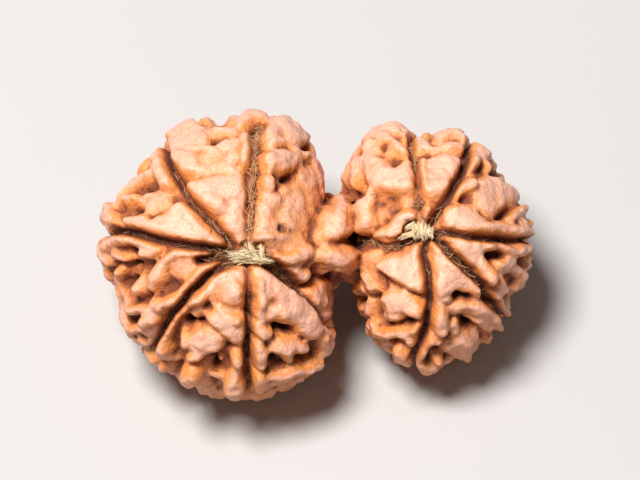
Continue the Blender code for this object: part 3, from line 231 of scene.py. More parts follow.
# Colours of the fibres, from dark to pale.
DARK_FIBRE_COLOUR = (0.15, 0.05, 0.02)
GOLD_FIBRE_COLOUR = (0.45, 0.2, 0.08)
PALE_FIBRE_COLOUR = (0.78, 0.48, 0.25)
CREAM_COLOUR = (0.85, 0.72, 0.46)
CREAM_SHADE_COLOUR = (0.45, 0.3, 0.13)

# Rounds of smoothing: for the three scales of the hollows, and for the lean.
HOLLOW_ROUNDS = (5, 40, 250)
LEAN_ROUNDS = 3

# The part of the sky that the surface hides, by which shade is painted: rings of rays (tilt in degrees,
# rays), their reach and start.
SKY_RINGS = ((25, 3), (50, 5), (72, 5))
SKY_REACH_MM = 2.2
SKY_GAP_MM = 0.03
SKY_ROUNDS = 2
SKY_SEED = 11
SKY_SIDEWAYS = (0.36, 0.48, 0.8)

# Where each measure of the skin starts to count for its colour, and where it counts in full.
CREST_RANGE_MM = (-0.45, 0.6)
CREVICE_RANGE_MM = (0.03, 0.35)
LEAN_RANGE = (0.05, 0.5)
UPWARD_RANGE = (-0.2, 0.6)
CLEFT_DEPTHS_MM = (-1.2, 0.9)  # below the bed of the stone; the deeper a cleft, the darker its painted shade
CLEFT_EDGE_MM = (-0.08, 0.34)  # outwards from the line of a cleft's edge
STAIN_EDGE = (0.5, 1.3)  # outwards, of a stain's half-width
OWN_REACH = 1.3  # how far out a point may lie to belong to a stone, of its outline

# Purplish stains: centre and half-width in pixels.
STAINS = {
    "left": ((281, 228, 6), (290, 231, 4), (243, 244, 5), (234, 250, 5), (260, 249, 4), (271, 254, 5)),
    "right": ((391, 211, 5), (417, 207, 6), (407, 221, 4), (423, 219, 4), (441, 223, 4), (380, 204, 4)),
}

# Each stone: its centre and its outline's distance from it (pixels) every 20 degrees, turning left
# from the right-hand side; the depth of its centre and half its depth (mm); and its pole (pixels).
STONES = {
    "left": {
        "centre": (217, 254),
        "outline": (118, 119, 134, 151, 143, 134, 121, 114, 121,
                    119, 108, 120, 126, 138, 150, 156, 151, 120),
        "depth": 0.0,
        "half_depth": 9.6,
        "pole": (252, 256),
        "seed": 3,
    },
    "right": {
        "centre": (438, 248),
        "outline": (96, 98, 93, 105, 118, 119, 137, 122, 105,
                    98, 92, 101, 118, 126, 114, 107, 96, 96),
        "depth": -1.6,
        "half_depth": 8.5,
        "pole": (418, 230),
        "seed": 8,
    },
    "neck": {
        "centre": (331, 243),
        "outline": (37, 35, 38, 44, 48, 50, 52, 58, 68,
                    72, 68, 58, 50, 48, 47, 43, 39, 37),
        "depth": -1.0,
        "half_depth": 7.0,
        "pole": None,
        "seed": 5,
    },
}

# Stalk fibres: (x, y) of each end of a strand and its half-width, in pixels, and its level in mm.
STRANDS = {"left": (
    ((233, 255), (250, 257), 3.6, 0.9),
    ((236, 260), (250, 261), 3.0, 0.75),
    ((250, 248), (256, 257), 6.0, 0.85),
    ((252, 261), (272, 262), 3.0, 0.95),
    ((264, 247), (266, 258), 2.8, 0.85),
    ((242, 253), (264, 255), 4.2, 0.7),
), "right": (
    ((415, 227), (416, 233), 5.0, 0.9),
    ((422, 226), (423, 233), 5.5, 0.95),
    ((429, 229), (429, 233), 4.2, 0.85),
    ((396, 236), (413, 233), 2.6, 0.85),
    ((404, 226), (413, 223), 2.6, 0.8),
)}

# Clefts: half-width in pixels, level of the bottom in mm, then points from the pole outwards.
CLEFTS = {"left": (
    (3.4, 0.8, ((252, 243), (252, 215), (253, 190), (255, 165), (257, 140), (262, 126), (268, 114))),
    (2.0, -0.6, ((236, 244), (222, 231), (205, 214), (188, 199), (179, 183), (171, 167), (166, 152),
     (164, 143))),
    (3.0, -0.9, ((238, 252), (215, 249), (195, 246), (175, 243), (155, 239), (135, 233), (112, 229))),
    (3.0, -0.9, ((236, 256), (215, 258), (197, 261))),
    (2.2, -0.9, ((236, 263), (222, 269), (204, 278), (190, 293), (174, 312), (161, 332), (150, 353))),
    (1.4, -0.2, ((251, 266), (250, 280), (250, 300))),
    (2.2, -0.9, ((250, 298), (249, 315), (249, 340), (247, 365), (249, 396))),
    (5.4, -0.9, ((269, 263), (279, 268), (292, 279), (299, 286))),
    (2.6, -0.9, ((298, 285), (307, 296), (316, 308), (327, 322))),
), "right": (
    (2.2, 0.3, ((420, 217), (417, 204), (419, 185), (417, 166), (412, 150), (410, 136))),
    (2.6, -0.9, ((430, 219), (441, 204), (450, 193), (457, 180), (465, 167), (468, 152), (468, 140))),
    (2.0, -0.9, ((436, 229), (455, 233), (472, 237), (490, 239), (512, 240), (533, 239))),
    (3.0, -0.9, ((433, 235), (444, 244), (452, 256), (466, 269), (482, 284), (492, 301), (505, 322))),
    (2.2, -0.9, ((424, 240), (422, 256), (427, 275), (430, 296), (427, 316), (424, 338), (411, 360))),
    (3.0, -0.6, ((414, 238), (400, 242), (386, 248))),
    (3.0, 0.25, ((388, 248), (370, 244), (352, 239), (338, 243))),
), "neck": (
    (2.2, 0.35, ((372, 246), (352, 239), (342, 242), (332, 243))),
)}

# Plates: edge in pixels, then the corners as (x, y, level in mm).
PLATES = {"left": (
    # between the top cleft and the upper left one
    (6, ((167, 134, 1.6), (176, 125, 1.6), (190, 121, 1.65), (202, 127, 1.6), (206, 137, 1.5),
     (205, 145, 1.35), (196, 148, 1.3), (184, 147, 1.45), (171, 145, 1.5))),
    (5, ((169, 147, 1.45), (180, 151, 1.5), (192, 153, 1.45), (200, 160, 1.3), (197, 171, 1.3),
     (184, 171, 1.55), (176, 164, 1.55))),
    (5, ((200, 150, 1.25), (214, 153, 1.25), (228, 157, 1.15), (236, 166, 1.15), (240, 172, 1.1),
     (226, 175, 1.05), (208, 175, 1.05), (197, 171, 1.15))),
    (4, ((213, 147, 1.2), (224, 140, 1.3), (235, 136, 1.35), (238, 158, 1.2), (226, 160, 1.15),
     (214, 155, 1.2))),
    (5, ((186, 184, 1.55), (198, 180, 1.4), (222, 177, 1.25), (240, 176, 1.3), (243, 186, 1.45),
     (243, 204, 1.35), (241, 213, 1.1), (231, 214, 1.15), (216, 211, 1.55), (206, 203, 1.65),
     (196, 194, 1.65))),
    (4, ((222, 217, 1.1), (232, 215, 1.15), (242, 214, 1.15), (246, 222, 1.05), (246, 240, 0.8),
     (240, 242, 0.8), (231, 233, 0.9), (226, 225, 1.05))),
    # between the upper left cleft and the left one
    (4, ((144, 191, 1.15), (156, 189, 1.2), (164, 196, 1.1), (167, 205, 1.0), (161, 212, 1.05),
     (149, 212, 1.15), (142, 205, 1.15), (140, 197, 1.1))),
    (5, ((121, 219, 1.35), (135, 215, 1.4), (150, 217, 1.25), (163, 213, 1.3), (172, 206, 1.4),
     (178, 203, 1.5), (190, 214, 1.55), (203, 228, 1.45), (215, 238, 1.2), (231, 250, 0.75),
     (221, 252, 0.8), (205, 246, 1.1), (192, 240, 1.25), (178, 236, 1.55), (168, 234, 1.55),
     (150, 231, 1.5), (130, 226, 1.4))),
    # between the left cleft and the lower left one
    (4, ((172, 260, 1.1), (190, 258, 1.05), (203, 256, 0.9), (212, 258, 0.8), (190, 268, 1.0),
     (184, 278, 1.0), (176, 280, 0.95), (168, 274, 1.0), (164, 266, 1.1))),
    (4, ((150, 301, 1.5), (161, 302, 1.45), (160, 313, 1.35), (150, 316, 1.3))),
    # between the lower left cleft and the bottom one
    (5, ((196, 308, 0.8), (212, 304, 0.9), (226, 312, 1.0), (218, 326, 0.7), (204, 319, 0.5),
     (190, 318, 0.5))),
    (5, ((228, 272, 0.9), (245, 270, 0.9), (244, 290, 1.1), (243, 306, 1.0), (234, 312, 1.0),
     (222, 308, 0.95), (208, 300, 1.0), (216, 286, 1.0))),
    (4, ((221, 284, 1.5), (234, 282, 1.55), (240, 288, 1.6), (240, 301, 1.55), (232, 305, 1.45),
     (223, 299, 1.45))),
    (5, ((205, 314, 1.0), (214, 311, 1.2), (227, 314, 1.5), (240, 318, 1.65), (242, 330, 1.5),
     (241, 347, 1.2), (232, 342, 1.3), (222, 333, 1.4), (212, 325, 1.25))),
    (4, ((181, 337, 1.35), (188, 341, 1.3), (198, 334, 1.25), (212, 334, 1.2), (221, 342, 1.25),
     (218, 352, 1.15), (206, 355, 1.2), (196, 354, 1.3), (188, 351, 1.1), (182, 348, 1.35))),
    # between the bottom cleft and the lower right one
    (5, ((258, 280, 1.45), (268, 279, 1.3), (280, 281, 1.3), (294, 294, 1.45), (307, 308, 1.5),
     (317, 321, 1.6), (322, 333, 1.6), (314, 338, 1.55), (305, 334, 1.45), (298, 324, 1.3),
     (286, 322, 1.35), (272, 321, 1.1), (267, 311, 1.3), (258, 308, 1.5))),
    (4, ((256, 268, 0.9), (266, 266, 0.85), (278, 276, 1.0), (268, 280, 1.0), (257, 279, 1.0))),
    (4, ((272, 343, 1.0), (292, 341, 0.95), (308, 344, 1.15), (312, 352, 1.3), (303, 355, 1.3),
     (296, 352, 1.2), (285, 355, 1.35), (274, 352, 1.2))),
    # between the top cleft and the lower right one
    (6, ((270, 124, 1.5), (280, 119, 1.4), (291, 122, 1.4), (300, 130, 1.45), (307, 135, 1.5),
     (306, 142, 1.4), (296, 145, 1.3), (286, 141, 1.3), (272, 145, 1.35), (266, 136, 1.4))),
    (6, ((265, 154, 1.65), (276, 151, 1.65), (288, 152, 1.5), (298, 154, 1.35), (303, 161, 1.25),
     (294, 167, 1.25), (282, 169, 1.55), (270, 168, 1.65))),
    (5, ((265, 192, 1.2), (284, 190, 1.1), (297, 180, 1.0), (308, 164, 1.15), (318, 158, 1.35),
     (321, 170, 1.35), (324, 186, 1.3), (326, 202, 1.3), (328, 215, 1.3), (326, 240, 1.25), (318, 262, 1.2),
     (306, 270, 1.1), (296, 262, 1.2), (290, 255, 1.1), (284, 247, 1.0), (270, 240, 1.1), (262, 236, 1.0),
     (263, 215, 1.0))),
    (4, ((313, 292, 1.5), (321, 284, 1.5), (330, 281, 1.4), (332, 291, 1.3), (332, 303, 1.35),
     (326, 307, 1.35), (318, 303, 1.45))),
), "right": (
    # left of the top cleft
    (6, ((356, 157, 1.35), (366, 154, 1.4), (378, 157, 1.4), (387, 165, 1.35), (395, 169, 1.35),
     (402, 164, 1.35), (407, 157, 1.35), (411, 162, 1.4), (413, 174, 1.6), (412, 187, 1.65),
     (404, 190, 1.65), (388, 189, 1.65), (373, 189, 1.65), (369, 182, 1.5), (366, 174, 1.35),
     (358, 168, 1.25))),
    (4, ((372, 236, 1.4), (382, 229, 1.3), (390, 224, 1.25), (394, 215, 1.25), (403, 211, 1.3),
     (414, 212, 1.2), (415, 216, 1.1), (403, 221, 1.05), (398, 229, 1.15), (400, 235, 1.35),
     (388, 237, 1.5))),
    (5, ((374, 194, 0.85), (410, 195, 0.8), (411, 206, 0.6), (398, 212, 0.7), (388, 222, 0.7),
     (375, 231, 0.8))),
    (5, ((373, 143, 1.0), (392, 141, 0.9), (401, 150, 1.1), (397, 158, 0.9), (387, 161, 0.8),
     (377, 155, 0.9))),
    # right of the top cleft
    (5, ((414, 134, 1.4), (424, 138, 1.4), (430, 146, 1.3), (418, 150, 1.2))),
    (6, ((427, 160, 1.35), (436, 155, 1.25), (448, 153, 1.3), (459, 155, 1.35), (462, 163, 1.35),
     (453, 171, 1.35), (449, 178, 1.3), (450, 187, 1.5), (444, 193, 1.55), (430, 193, 1.55),
     (427, 178, 1.4))),
    # between the upper right cleft and the right one
    (3, ((474, 168, 0.7), (486, 168, 0.7), (486, 175, 0.7), (474, 175, 0.7))),
    (5, ((483, 181, 1.3), (492, 176, 1.45), (500, 184, 1.5), (509, 189, 1.55), (519, 194, 1.6),
     (520, 199, 1.55), (509, 201, 1.4), (500, 205, 1.25), (492, 212, 1.1), (486, 213, 1.0), (480, 206, 1.0),
     (479, 194, 1.1))),
    (5, ((450, 208, 1.05), (460, 206, 1.15), (470, 205, 1.1), (482, 209, 1.05), (486, 218, 1.2),
     (480, 226, 1.4), (466, 227, 1.4), (453, 227, 1.2), (446, 222, 1.0))),
    # between the right cleft and the lower right one
    (4, ((452, 236, 1.0), (466, 240, 1.3), (480, 243, 1.45), (490, 246, 1.4), (484, 252, 1.25),
     (477, 257, 1.2), (481, 265, 1.25), (475, 265, 1.1), (466, 256, 1.1), (457, 246, 1.0))),
    (5, ((502, 266, 1.0), (508, 258, 1.1), (517, 255, 1.2), (519, 263, 1.15), (513, 271, 1.0),
     (505, 273, 0.95))),
    # between the lower right cleft and the bottom one
    (5, ((433, 244, 1.0), (439, 244, 1.1), (447, 257, 1.3), (458, 269, 1.5), (472, 279, 1.6),
     (481, 289, 1.65), (480, 297, 1.6), (470, 293, 1.4), (458, 288, 1.3), (451, 292, 1.4), (449, 302, 1.45),
     (437, 303, 1.4), (435, 288, 1.45), (436, 272, 1.1), (434, 256, 0.9))),
    (4, ((452, 306, 1.05), (470, 303, 1.2), (482, 305, 1.35), (491, 314, 1.45), (484, 318, 1.2),
     (468, 315, 0.95), (453, 316, 0.95))),
    (6, ((452, 344, 1.3), (460, 338, 1.3), (469, 340, 1.5), (473, 349, 1.65), (467, 357, 1.6),
     (454, 357, 1.4), (448, 351, 1.3))),
    # left of the bottom cleft
    (5, ((378, 265, 1.55), (387, 261, 1.4), (398, 261, 1.25), (407, 257, 1.1), (412, 249, 1.0),
     (418, 246, 1.0), (418, 258, 1.2), (420, 272, 1.4), (424, 286, 1.6), (419, 290, 1.6), (407, 286, 1.55),
     (394, 279, 1.55), (382, 271, 1.55))),
    (4, ((384, 284, 0.85), (398, 288, 0.9), (414, 294, 0.85), (404, 296, 0.95), (390, 293, 1.1))),
    (5, ((382, 297, 1.5), (392, 294, 1.4), (402, 293, 1.3), (412, 301, 1.45), (423, 311, 1.65),
     (421, 316, 1.6), (411, 314, 1.5), (400, 311, 1.5), (390, 312, 1.5), (382, 308, 1.5))),
    # towards the neck
    (5, ((345, 252, 1.3), (360, 254, 1.2), (374, 256, 1.1), (376, 272, 1.1), (376, 288, 1.2),
     (364, 292, 1.4), (355, 293, 1.4), (350, 278, 1.2), (345, 266, 1.2))),
), "neck": (
    (6, ((303, 208, 1.1), (318, 210, 1.15), (328, 204, 1.3), (336, 197, 1.4), (345, 194, 1.45),
     (351, 204, 1.5), (352, 220, 1.5), (350, 233, 1.4), (342, 239, 1.35), (330, 240, 1.25), (316, 243, 1.2),
     (300, 245, 1.2), (297, 226, 1.15))),
    (5, ((300, 252, 1.4), (318, 250, 1.3), (335, 251, 1.3), (350, 252, 1.3), (366, 252, 1.2),
     (373, 262, 1.2), (373, 280, 1.3), (364, 288, 1.4), (354, 284, 1.35), (346, 272, 1.25), (332, 271, 1.2),
     (318, 278, 1.1), (303, 281, 1.05))),
)}

# Folds and knobs: points of (x, y, half-width in pixels, crest level in mm).
FOLDS = {"left": (
    # between the top cleft and the upper left one
    ((190, 148, 5, 1.45), (202, 146, 5, 1.5), (213, 150, 5, 1.4), (223, 157, 4, 1.25)),
    ((214, 131, 6, 1.5), (224, 130, 6.5, 1.6), (233, 131, 6, 1.5)),
    ((244, 136, 6, 1.5), (244, 148, 6, 1.65), (244, 161, 6, 1.6)),
    # between the upper left cleft and the left one
    ((162, 147, 6, 1.45), (156, 158, 7.5, 1.5), (160, 170, 8, 1.65), (166, 182, 9.5, 1.75)),
    ((150, 173, 7, 1.35), (138, 178, 7, 1.4), (127, 186, 6.5, 1.4), (119, 195, 6, 1.35),
     (114, 203, 5, 1.3)),
    ((126, 199, 4.5, 1.5), (136, 198, 4.5, 1.45), (144, 200, 4, 1.2)),
    ((107, 209, 7, 1.55), (109, 216, 8, 1.65), (111, 224, 7, 1.5)),
    # between the left cleft and the lower left one
    ((154, 249, 7, 1.5), (144, 243, 6, 1.45), (130, 239, 6, 1.45), (117, 239, 7, 1.5), (106, 244, 7, 1.55),
     (101, 254, 6.5, 1.5), (105, 264, 6, 1.3)),
    ((141, 253, 5, 1.3), (150, 254, 6, 1.45)),
    ((112, 256, 5, 1.4), (124, 259, 4, 1.3)),
    ((117, 273, 5, 1.4), (116, 281, 5, 1.35), (119, 292, 5, 1.15), (123, 300, 6, 1.0)),
    ((139, 280, 5, 1.2), (137, 289, 7.5, 1.65)),
    ((160, 268, 7, 1.4), (156, 276, 9, 1.65), (150, 286, 7, 1.4)),
    ((216, 253, 2, 0.9), (195, 253, 4, 1.3), (175, 254, 5, 1.4), (166, 260, 5, 1.3), (160, 267, 6, 1.3)),
    ((220, 264, 3, 1.0), (206, 267, 5, 1.35), (197, 275, 6, 1.45), (190, 287, 6, 1.5), (178, 297, 6, 1.5),
     (164, 303, 6, 1.5)),
    ((151, 305, 6, 1.45), (157, 307, 7, 1.55)),
    ((152, 320, 7, 1.5), (144, 323, 8, 1.7)),
    ((147, 311, 4, 1.3), (137, 309, 4.5, 1.4), (127, 311, 5, 1.45)),
    ((125, 302, 6, 1.0), (121, 312, 6, 1.3), (120, 322, 6, 1.3), (127, 330, 5, 1.3), (138, 331, 4, 1.2)),
    ((127, 336, 5, 1.25), (134, 346, 6, 1.2), (144, 352, 7, 1.1), (151, 344, 7, 0.9)),
    ((143, 336, 7, 1.1), (152, 333, 6, 1.0)),
    # between the lower left cleft and the bottom one
    ((234, 268, 4, 0.85), (223, 276, 5, 1.05), (210, 289, 6, 1.2), (199, 300, 6, 1.4), (186, 304, 6, 1.5),
     (174, 315, 5.5, 1.55), (167, 329, 5, 1.5), (162, 342, 6, 1.55), (162, 350, 8, 1.7)),
    ((214, 305, 4, 1.1), (224, 313, 5, 1.45), (236, 322, 6, 1.7)),
    ((190, 359, 5.5, 1.45), (197, 358, 6, 1.45)),
    ((189, 377, 10.5, 1.95), (192, 376, 10.5, 1.95)),
    ((210, 384, 7, 0.8), (221, 382, 6, 0.8)),
    ((217, 363, 3.5, 1.0), (218, 365, 3.5, 1.0)),
    ((237, 357, 7, 1.45), (237, 365, 6.5, 1.55), (236, 373, 4.5, 1.3), (233, 382, 9, 1.75),
     (234, 389, 11, 1.95)),
    ((158, 361, 6, 0.9), (170, 364, 6, 0.8)),
    # between the bottom cleft and the lower right one
    ((261, 284, 6, 1.55), (261, 296, 7, 1.7), (262, 306, 7, 1.65)),
    ((261, 314, 7, 1.4), (263, 322, 6, 1.3)),
    ((272, 278, 5, 1.2), (286, 288, 6, 1.4), (300, 302, 7, 1.5), (312, 317, 7, 1.6), (317, 329, 7, 1.7)),
    ((284, 314, 8, 1.6), (289, 314, 7, 1.5)),
    ((258, 328, 6, 1.3), (264, 335, 7, 1.55), (268, 334, 6, 1.45)),
    ((258, 348, 7, 1.4), (261, 356, 8, 1.6), (262, 366, 7, 1.45)),
    ((260, 380, 7, 1.5), (261, 387, 8, 1.5)),
    ((287, 352, 7, 1.45), (291, 361, 5, 1.35)),
    ((302, 350, 6, 1.4), (308, 351, 5, 1.35)),
    ((272, 379, 5, 1.4), (284, 378, 6, 1.45), (294, 373, 6.5, 1.55), (306, 369, 7, 1.65),
     (319, 365, 7, 1.6)),
    ((324, 329, 5, 1.45), (333, 339, 6, 1.6), (335, 350, 6, 1.5), (325, 354, 6, 1.35)),
    ((325, 338, 6, 1.6), (326, 346, 6, 1.45)),
    ((265, 393, 7, 0.9), (280, 388, 7, 0.9), (295, 384, 6, 0.8)),
    # between the top cleft and the lower right one
    ((271, 123, 5, 1.6), (280, 119, 5, 1.45), (291, 123, 5, 1.45), (300, 131, 5, 1.5), (306, 136, 5, 1.5)),
    ((269, 160, 8, 1.8), (280, 161, 8, 1.65)),
    ((296, 148, 4, 1.3), (302, 152, 5, 1.4), (309, 155, 6, 1.45)),
    ((269, 180, 7.5, 1.6), (270, 187, 7, 1.5)),
    ((267, 198, 6, 1.4), (278, 199, 6, 1.4)),
    ((316, 158, 7, 1.5), (319, 173, 7, 1.5), (321, 188, 7, 1.45), (322, 200, 6, 1.35)),
    ((258, 237, 5, 1.25), (272, 235, 5, 1.35), (288, 236, 5, 1.3), (302, 241, 6, 1.3)),
    ((280, 258, 5, 1.3), (293, 258, 7, 1.45), (306, 252, 9, 1.65)),
    ((296, 272, 7, 1.3), (306, 275, 8, 1.45)),
    ((336, 296, 4, 1.1), (336, 306, 5, 1.25), (333, 314, 6, 1.35)),
), "right": (
    # left of the top cleft
    ((355, 158, 5, 1.45), (354, 170, 5, 1.55), (353, 185, 5, 1.45)),
    ((346, 164, 5, 1.0), (344, 176, 5, 1.0), (346, 184, 5, 0.9)),
    ((371, 190, 5, 1.5), (366, 201, 6, 1.5), (360, 212, 12, 1.8), (360, 221, 13, 1.9)),
    ((375, 131, 7, 1.6), (369, 139, 7, 1.5), (365, 148, 6, 1.4)),
    ((381, 137, 5, 1.5), (385, 129, 6, 1.6), (394, 125, 7, 1.7), (404, 129, 6, 1.6), (408, 138, 5, 1.45)),
    ((384, 133, 6, 1.5), (390, 138, 5, 1.4)),
    ((391, 137, 5, 1.4), (397, 147, 6, 1.55), (406, 154, 6, 1.4)),
    ((373, 146, 6, 1.2), (371, 152, 5, 1.2)),
    ((377, 242, 5, 1.0), (385, 243, 5.5, 1.1), (392, 241, 4, 0.9)),
    # right of the top cleft
    ((414, 137, 6, 1.45), (423, 142, 6, 1.45), (432, 148, 5, 1.3)),
    ((438, 139, 6, 1.45), (447, 135, 6, 1.6), (458, 135, 7, 1.7), (464, 142, 5, 1.55)),
    ((436, 147, 5, 1.25), (450, 145, 5, 1.4), (463, 147, 5, 1.35)),
    ((423, 161, 4.5, 1.55), (424, 176, 4.5, 1.55), (426, 189, 5, 1.55)),
    ((427, 207, 5.5, 1.15), (428, 214, 5.5, 1.1)),
    # between the upper right cleft and the right one
    ((474, 143, 6, 1.5), (482, 145, 7, 1.6), (487, 152, 7, 1.65), (482, 157, 6, 1.5)),
    ((474, 151, 5, 1.4), (475, 160, 7, 1.6), (472, 166, 5, 1.4)),
    ((487, 163, 4, 1.35), (490, 168, 4, 1.4)),
    ((473, 183, 7, 1.65), (466, 187, 6, 1.4), (461, 193, 5, 1.1)),
    ((495, 179, 5, 1.5), (503, 189, 7, 1.65), (516, 196, 6, 1.65)),
    ((468, 227, 5, 1.4), (484, 226, 6, 1.5), (500, 228, 7, 1.5), (516, 231, 7, 1.55), (530, 232, 6, 1.6)),
    ((495, 221, 4, 1.2), (506, 223, 4, 1.25)),
    ((512, 217, 5, 1.35), (519, 212, 5.5, 1.5), (526, 207, 6, 1.65)),
    ((523, 221, 5, 1.4), (525, 223, 5, 1.4)),
    # between the right cleft and the lower right one
    ((450, 236, 4, 0.95), (464, 240, 5, 1.35), (478, 243, 5, 1.5), (492, 246, 5, 1.5), (503, 246, 4, 1.35),
     (514, 251, 5, 1.4), (524, 250, 7, 1.6), (530, 247, 6, 1.6)),
    ((482, 256, 5, 1.3), (485, 266, 7, 1.5), (490, 277, 8.5, 1.8)),
    ((518, 271, 5, 1.2), (525, 276, 6, 1.4), (525, 286, 6, 1.35), (517, 293, 5, 1.2)),
    ((503, 284, 6, 1.35), (507, 292, 5, 1.25), (500, 292, 5, 1.3)),
    ((498, 298, 5, 1.3), (503, 306, 4.5, 1.35), (507, 314, 5.5, 1.55)),
    # between the lower right cleft and the bottom one
    ((441, 252, 4, 1.2), (451, 264, 6, 1.45), (464, 276, 7, 1.65), (476, 288, 8, 1.75)),
    ((442, 276, 7, 1.4), (443, 287, 8, 1.65), (443, 298, 7, 1.55)),
    ((441, 312, 8, 1.55), (441, 322, 8.5, 1.75), (441, 329, 8, 1.75)),
    ((453, 308, 5, 1.1), (466, 306, 5, 1.3), (480, 308, 5, 1.45), (490, 315, 6, 1.5), (498, 323, 7, 1.6),
     (503, 329, 8, 1.8)),
    ((470, 322, 4, 0.9), (482, 322, 4, 1.2), (490, 330, 5, 1.3)),
    ((455, 326, 5, 1.3), (456, 336, 5, 1.3)),
    ((479, 343, 5, 1.1), (477, 336, 4, 0.8)),
    ((439, 343, 5, 1.45), (430, 341, 6, 1.5), (424, 348, 6, 1.5), (421, 357, 5, 1.4), (417, 365, 5, 1.4),
     (424, 371, 5, 1.5), (434, 370, 5, 1.6), (438, 361, 5, 1.5)),
    # left of the bottom cleft
    ((380, 266, 5, 1.65), (394, 274, 5, 1.65), (408, 282, 6, 1.65), (420, 288, 6, 1.7)),
    ((367, 303, 5, 1.25), (367, 312, 5.5, 1.45)),
    ((386, 317, 7, 1.45), (396, 317, 6, 1.25)),
    ((371, 324, 6, 1.3), (373, 332, 6, 1.4), (385, 335, 6, 1.35), (397, 334, 6, 1.4), (409, 336, 7, 1.35),
     (415, 327, 5, 1.3)),
    ((409, 342, 7, 1.3), (411, 348, 5, 1.1)),
    ((397, 354, 7, 1.45), (402, 359, 7.5, 1.6)),
    ((376, 346, 6, 0.8), (386, 350, 5, 0.7)),
    # towards the neck
    ((363, 256, 4.5, 1.35), (365, 272, 6, 1.5), (369, 286, 7, 1.65)),
    ((353, 278, 5, 1.35), (356, 290, 6, 1.55)),
), "neck": (
    ((343, 201, 8, 1.6), (341, 213, 10, 1.75), (339, 227, 10, 1.65)),
    ((350, 206, 8, 1.5), (350, 218, 9, 1.5), (349, 229, 7, 1.5)),
    ((308, 254, 9, 1.6), (325, 257, 8, 1.45), (341, 260, 9, 1.6)),
    ((353, 262, 5, 1.45), (355, 278, 6, 1.5), (357, 288, 6, 1.5)),
    ((364, 256, 5, 1.4), (366, 270, 6, 1.5), (369, 284, 7, 1.6)),
)}

# Folds that lie over a cleft, with points as for the other folds.
BRIDGES = {"left": (
    ((241, 123, 8, 1.6), (250, 116, 9, 1.75), (260, 112, 8, 1.7), (264, 117, 6.5, 1.6)),
)}

# Pits: depth in mm, then the centre and half-width in pixels.
PITS = {"left": (
    (1.3, (214, 140, 5.5)), (0.9, (139, 187, 6)), (1.1, (133, 209, 8)), (0.5, (152, 217, 5)),
    (0.6, (174, 198, 7)), (1.2, (128, 250, 7)), (0.9, (128, 268, 7)), (1.1, (127, 284, 5)),
    (1.0, (138, 317, 4)), (1.1, (130, 323, 5)), (1.2, (133, 338, 4)), (1.5, (186, 326, 8)),
    (1.6, (199, 327, 6)), (1.3, (212, 363, 8)), (1.2, (214, 373, 7)), (0.4, (191, 347, 3.5)),
    (1.0, (171, 378, 12)), (1.3, (257, 129, 7)), (1.5, (279, 331, 7)), (1.5, (291, 332, 8)),
    (0.9, (304, 340, 5)), (0.4, (274, 303, 7)), (1.3, (276, 364, 8)), (1.3, (304, 362, 8)),
    (0.5, (283, 228, 6)), (0.35, (280, 214, 9)), (0.35, (282, 134, 6)), (0.5, (281, 147, 4.5)),
    (0.7, (292, 176, 8)), (1.2, (259, 129, 4)), (0.3, (192, 228, 3)), (0.6, (208, 310, 7)),
    (0.2, (228, 204, 6)),
), "right": (
    (1.4, (383, 145, 5.5)), (0.9, (379, 154, 5)), (1.3, (394, 157, 4)), (1.3, (393, 163, 4)),
    (0.6, (373, 137, 3.5)), (0.7, (402, 132, 3)), (1.0, (411, 147, 4)), (0.6, (360, 186, 7)),
    (0.5, (380, 204, 5)), (0.5, (382, 220, 4)), (0.5, (391, 211, 5)), (1.3, (417, 205, 6)),
    (1.2, (441, 203, 7)), (1.0, (455, 180, 6)), (0.9, (466, 197, 6)), (0.7, (483, 213, 4)),
    (1.2, (507, 210, 7)), (0.9, (484, 165, 4)), (1.4, (497, 258, 7)), (1.2, (505, 257, 6)),
    (0.9, (512, 243, 5)), (0.7, (517, 281, 4)), (0.5, (441, 259, 3)), (1.5, (458, 298, 7)),
    (1.5, (469, 299, 7)), (1.3, (488, 298, 6)), (1.2, (470, 329, 8)), (1.3, (431, 360, 4)),
    (1.4, (410, 323, 7)), (1.2, (399, 325, 5)), (0.7, (347, 187, 3)), (1.0, (388, 248, 7)),
    (1.0, (404, 242, 7)),
)}

# Notches in a stone's outline, which run on round it: depth in mm, then the centre and half-width.
NOTCHES = {"left": (
    (1.1, (220, 117, 13)), (0.5, (271, 115, 4)), (0.9, (306, 148, 5)), (0.4, (147, 170, 4)),
    (0.6, (104, 268, 4)), (0.5, (116, 297, 4)), (1.3, (212, 390, 9)), (0.9, (171, 377, 7)),
), "right": (
    (0.5, (431, 134, 5)), (1.1, (500, 169, 9)), (0.8, (528, 200, 4.5)), (0.5, (533, 217, 4)),
    (0.8, (530, 262, 6)), (0.9, (521, 304, 9)), (0.8, (502, 343, 7)), (0.6, (488, 351, 5)),
)}


def outline_radius(stone, angle):
    """The outline's distance from the stone's centre, in pixels, in a direction of the view."""
    radii = np.array(stone["outline"], dtype=float)
    place = (angle / (2 * math.pi) * len(radii)) % len(radii)
    i = np.floor(place).astype(int)
    t = place - i
    a, b, c, d = (radii[(i + k) % len(radii)] for k in (-1, 0, 1, 2))
    return b + 0.5 * t * (c - a + t * (2 * a - 5 * b + 4 * c - d + t * (3 * (b - c) + d - a)))


def photo_to_sphere(stone, x, y):
    """The direction, on a unit ball, of the point of a stone that the photograph shows at (x, y)."""
    rise = 1.0
    for _ in range(SIGHT_ROUNDS):
        shrink = 1 - (stone["depth"] + stone["half_depth"] * rise) / VIEW_DISTANCE_MM
        across = VIEW_CENTRE_PX[0] + (x - VIEW_CENTRE_PX[0]) * shrink - stone["centre"][0]
        up = stone["centre"][1] - VIEW_CENTRE_PX[1] - (y - VIEW_CENTRE_PX[1]) * shrink
        angle = math.atan2(up, across)
        reach = min(math.hypot(across, up) / outline_radius(stone, angle), MOST_REACH)
        rise = math.sqrt(1 - reach * reach)
    return np.array((reach * math.cos(angle), reach * math.sin(angle), rise))


